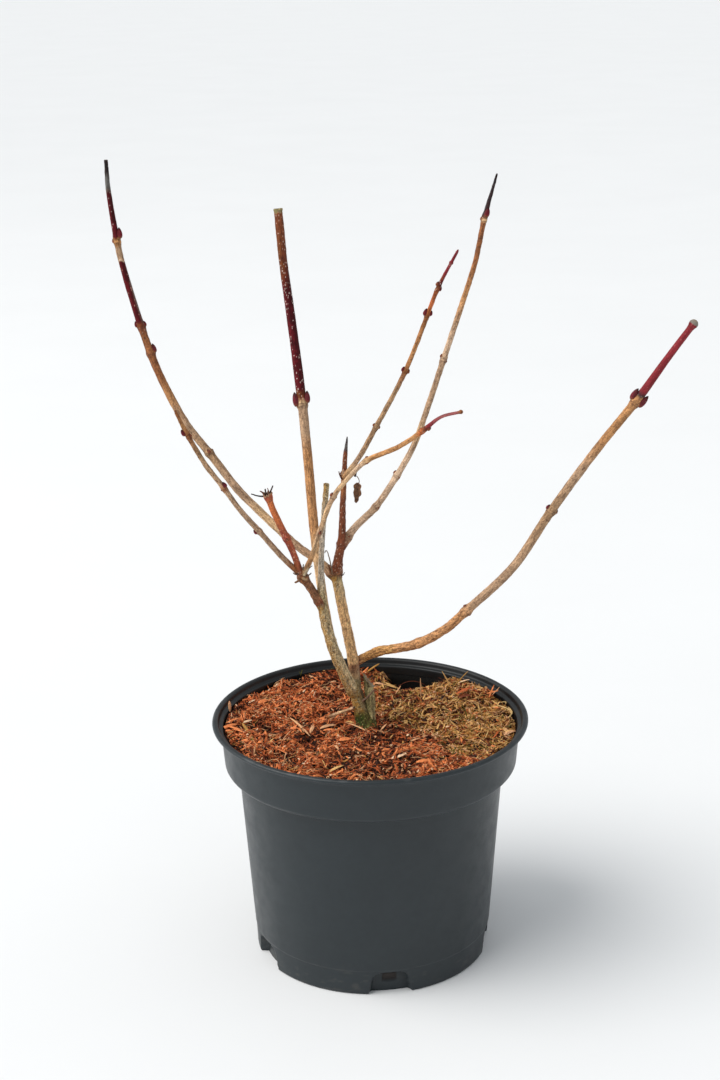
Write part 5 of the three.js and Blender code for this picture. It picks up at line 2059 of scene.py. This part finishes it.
@dataclass
class DryRemains:
    """Dead threads and a curled leaf that still hang on the shrub.

    Attributes:
        leaf_top: where the leaf's thread hangs from, mm.
        thread: the thread's length, mm.
        thread_width: how thick it is, mm.
        length: the leaf's length, mm.
        width: its width, mm.
        thickness: how thick the dry blade is, mm.
    """

    leaf_top: Triple = (-6.2, 9.6, 294)
    thread: float = 5.4
    thread_width: float = 0.48
    length: float = 12.0
    width: float = 7.0
    thickness: float = 0.45

    def dress_wisps(self) -> None:
        """Sweep each thread along the curve through its three points."""
        rows = np.array(WISPS)[:, None]
        share = np.linspace(0, 1, 12)[None, :, None]
        start, middle, stop = rows[..., :3], rows[..., 3:6], rows[..., 6:9]
        pull = 2 * middle - 0.5 * (start + stop)
        paths = start * (1 - share) ** 2 + 2 * pull * share * (1 - share) + stop * share ** 2
        wobble = fractal(paths / 1.6, 2, 511)[..., None] * np.array([0.35, 0.35, 0.1])
        wide, tip = rows[..., 9], rows[..., 10]
        radii = (wide + (tip - wide) * share[..., 0]) / 2
        points, quads, triangles = tubes(paths + wobble * share, radii, 0.8, np.zeros(len(rows)))
        colours = np.array([linear(*row[11:]) for row in WISPS])
        parts = MeshParts()
        parts.add(points * MM, np.repeat(colours, paths.shape[1] * 4, axis=0), quads, triangles)
        deliver(parts.write("dry_wisps", DRY_LEAF), "brown_bark")

    def dress_leaf(self) -> None:
        """Hang the curled leaf: rings down its length, flat across, rolled and twisted.

        The blade's half width swells and narrows in two lobes; the ring is then bent into
        part of a roll that tightens towards the tip.
        """
        share = np.linspace(0, 1, 26)[:, None]
        turn = round_turn(28)[None, :]
        lobes = np.sin(np.pi * np.clip(share * 0.96 + 0.04, 0, 1)) ** 0.6
        lobes = lobes * (1 + 0.3 * np.sin(share * 15)) * (1 - 0.3 * share)
        half = 0.5 * self.width * np.maximum(lobes, 0.12)
        across = half * np.cos(turn)
        depth = -self.thickness / 2 * np.sin(turn)
        bend = 1.6 + 1.4 * (1 - share)
        roll = across / bend
        x = bend * np.sin(roll) + depth * np.sin(-roll)
        y = bend * (np.cos(roll) - 1) + depth * np.cos(roll)
        spin = 0.9 * share - 0.3
        top = np.array(self.leaf_top)
        drop = self.thread - 1.2 + self.length * share + 0.5 * np.sin(turn * 2) * share
        points = np.stack([top[0] + x * np.cos(spin) - y * np.sin(spin) + 0.8 - 1.6 * share,
                           top[1] + x * np.sin(spin) + y * np.cos(spin) + 0 * turn,
                           top[2] - drop + 0 * turn], axis=-1)
        points += 0.25 * fractal(points / 1.5, 2, 521)[..., None]
        mottle = smooth(-0.1, 0.5, fractal(points / 1.2, 3, 523))
        tint = mixed(painted(LEAF_TAN, points), LEAF_BROWN, mottle)
        parts = MeshParts()
        parts.add_grid(Grid(points * MM, tint))
        level = np.linspace(0, 1, 14)
        sway = np.stack([1.5 * np.sin(level * 2.6), 0.2 * level, -self.thread * level], axis=-1)
        half = np.full((1, len(level)), self.thread_width / 2)
        strand, quads, triangles = tubes((top + sway)[None], half, 1.0, np.zeros(1))
        parts.add(strand * MM, np.array(LEAF_STALK), quads, triangles)
        deliver(parts.write("dry_leaf", DRY_LEAF), "tan_bark")


# ---- studio

@dataclass
class Studio:
    """The pale floor, soft light and the camera.

    Attributes:
        view: where the camera is and how it looks.
        floor_rings: radii of the floor's rings, m.
        sky_colour: linear colour of the surroundings, with its alpha.
        sky: their brightness.
        sun_from: direction that the daylight comes from.
        sun_colour: its linear colour.
        sun_power: its strength, watts a square metre.
        sun_width: how wide it is, degrees.
        window_place: the middle of the soft window, m.
        window_colour: its linear colour.
        window_size: how wide it is, m.
        window_power: its power, watts.
    """

    view: View
    floor_rings: tuple[float, ...] = (0.02, 0.2, 0.6, 2.0, 6.0, 20.0)
    sky_colour: Four = (0.93, 0.97, 1.0, 1.0)
    sky: float = 0.6
    sun_from: Triple = (-0.85, -0.35, 1.3)
    sun_colour: Colour = (1.0, 0.98, 0.95)
    sun_power: float = 2.05
    sun_width: float = 50.0
    window_place: Triple = (-2.4, 0.2, 1.7)
    window_colour: Colour = (1.0, 0.975, 0.94)
    window_size: float = 3.0
    window_power: float = 23.0

    def dress(self) -> None:
        """Lay the floor, set the surroundings and lamps, and place the camera."""
        self.lay_floor()
        self.light()
        self.aim_camera()

    def lay_floor(self) -> None:
        """Lay one wide flat disc of rings at the pot's foot."""
        radius = np.array(self.floor_rings)[::-1, None]
        turn = round_turn(96)[None, :]
        points = np.stack([radius * np.cos(turn), radius * np.sin(turn), 0 * radius * turn], -1)
        parts = MeshParts()
        parts.add_grid(Grid(points, painted(FLOOR.colour, points), close_start=False))
        parts.write("studio_floor", FLOOR)

    def light(self) -> None:
        """Set pale surroundings, soft daylight from the upper left and a wide window."""
        scene = bpy.context.scene
        scene.view_settings.view_transform = "Standard"
        world = bpy.data.worlds.new("pale_room")
        scene.world = world
        world.use_nodes = True
        surroundings = world.node_tree.nodes["Background"]
        surroundings.inputs["Color"].default_value = self.sky_colour
        surroundings.inputs["Strength"].default_value = self.sky
        daylight = bpy.data.lights.new("daylight", "SUN")
        daylight.energy = self.sun_power
        daylight.angle = math.radians(self.sun_width)
        daylight.color = self.sun_colour
        self.hang(daylight, Vector(self.sun_from))
        window = bpy.data.lights.new("window", "AREA")
        window.shape = "DISK"
        window.size = self.window_size
        window.energy = self.window_power
        window.color = self.window_colour
        self.hang(window, Vector(self.window_place))

    def hang(self, lamp: bpy.types.Light, place: Vector) -> None:
        """Put a lamp at a place, facing the middle of the plant.

        Args:
            lamp: the lamp.
            place: where it hangs, m.
        """
        aim = (Vector((0, 0, 0.2)) - place).to_track_quat("-Z", "Y")
        holder = linked(lamp.name, lamp)
        holder.matrix_world = Matrix.Translation(place) @ aim.to_matrix().to_4x4()

    def aim_camera(self) -> None:
        """Place the camera by its own right, up and backward directions."""
        axes = np.eye(4)
        axes[:3, :3] = self.view.axes()
        axes[:3, 3] = np.array(self.view.place) * MM
        camera = bpy.data.cameras.new("camera")
        camera.lens = self.view.lens
        camera.sensor_width = self.view.frame_height
        camera.clip_start = 0.05
        camera.clip_end = 60.0
        holder = linked("camera", camera)
        holder.matrix_world = Matrix(axes.tolist())
        bpy.context.scene.camera = holder


def main() -> None:
    """Build each sub-assembly in order."""
    logging.basicConfig(level=logging.INFO, format="%(name)s: %(message)s")
    Pot().dress()
    medium = GrowingMedium()
    medium.dress()
    view = View()
    Litter(medium, view).dress()
    for order, limb in enumerate(LIMBS):
        LimbBark(limb, order).dress()
    remains = DryRemains()
    remains.dress_wisps()
    remains.dress_leaf()
    Studio(view).dress()


if __name__ == "__main__":
    main()
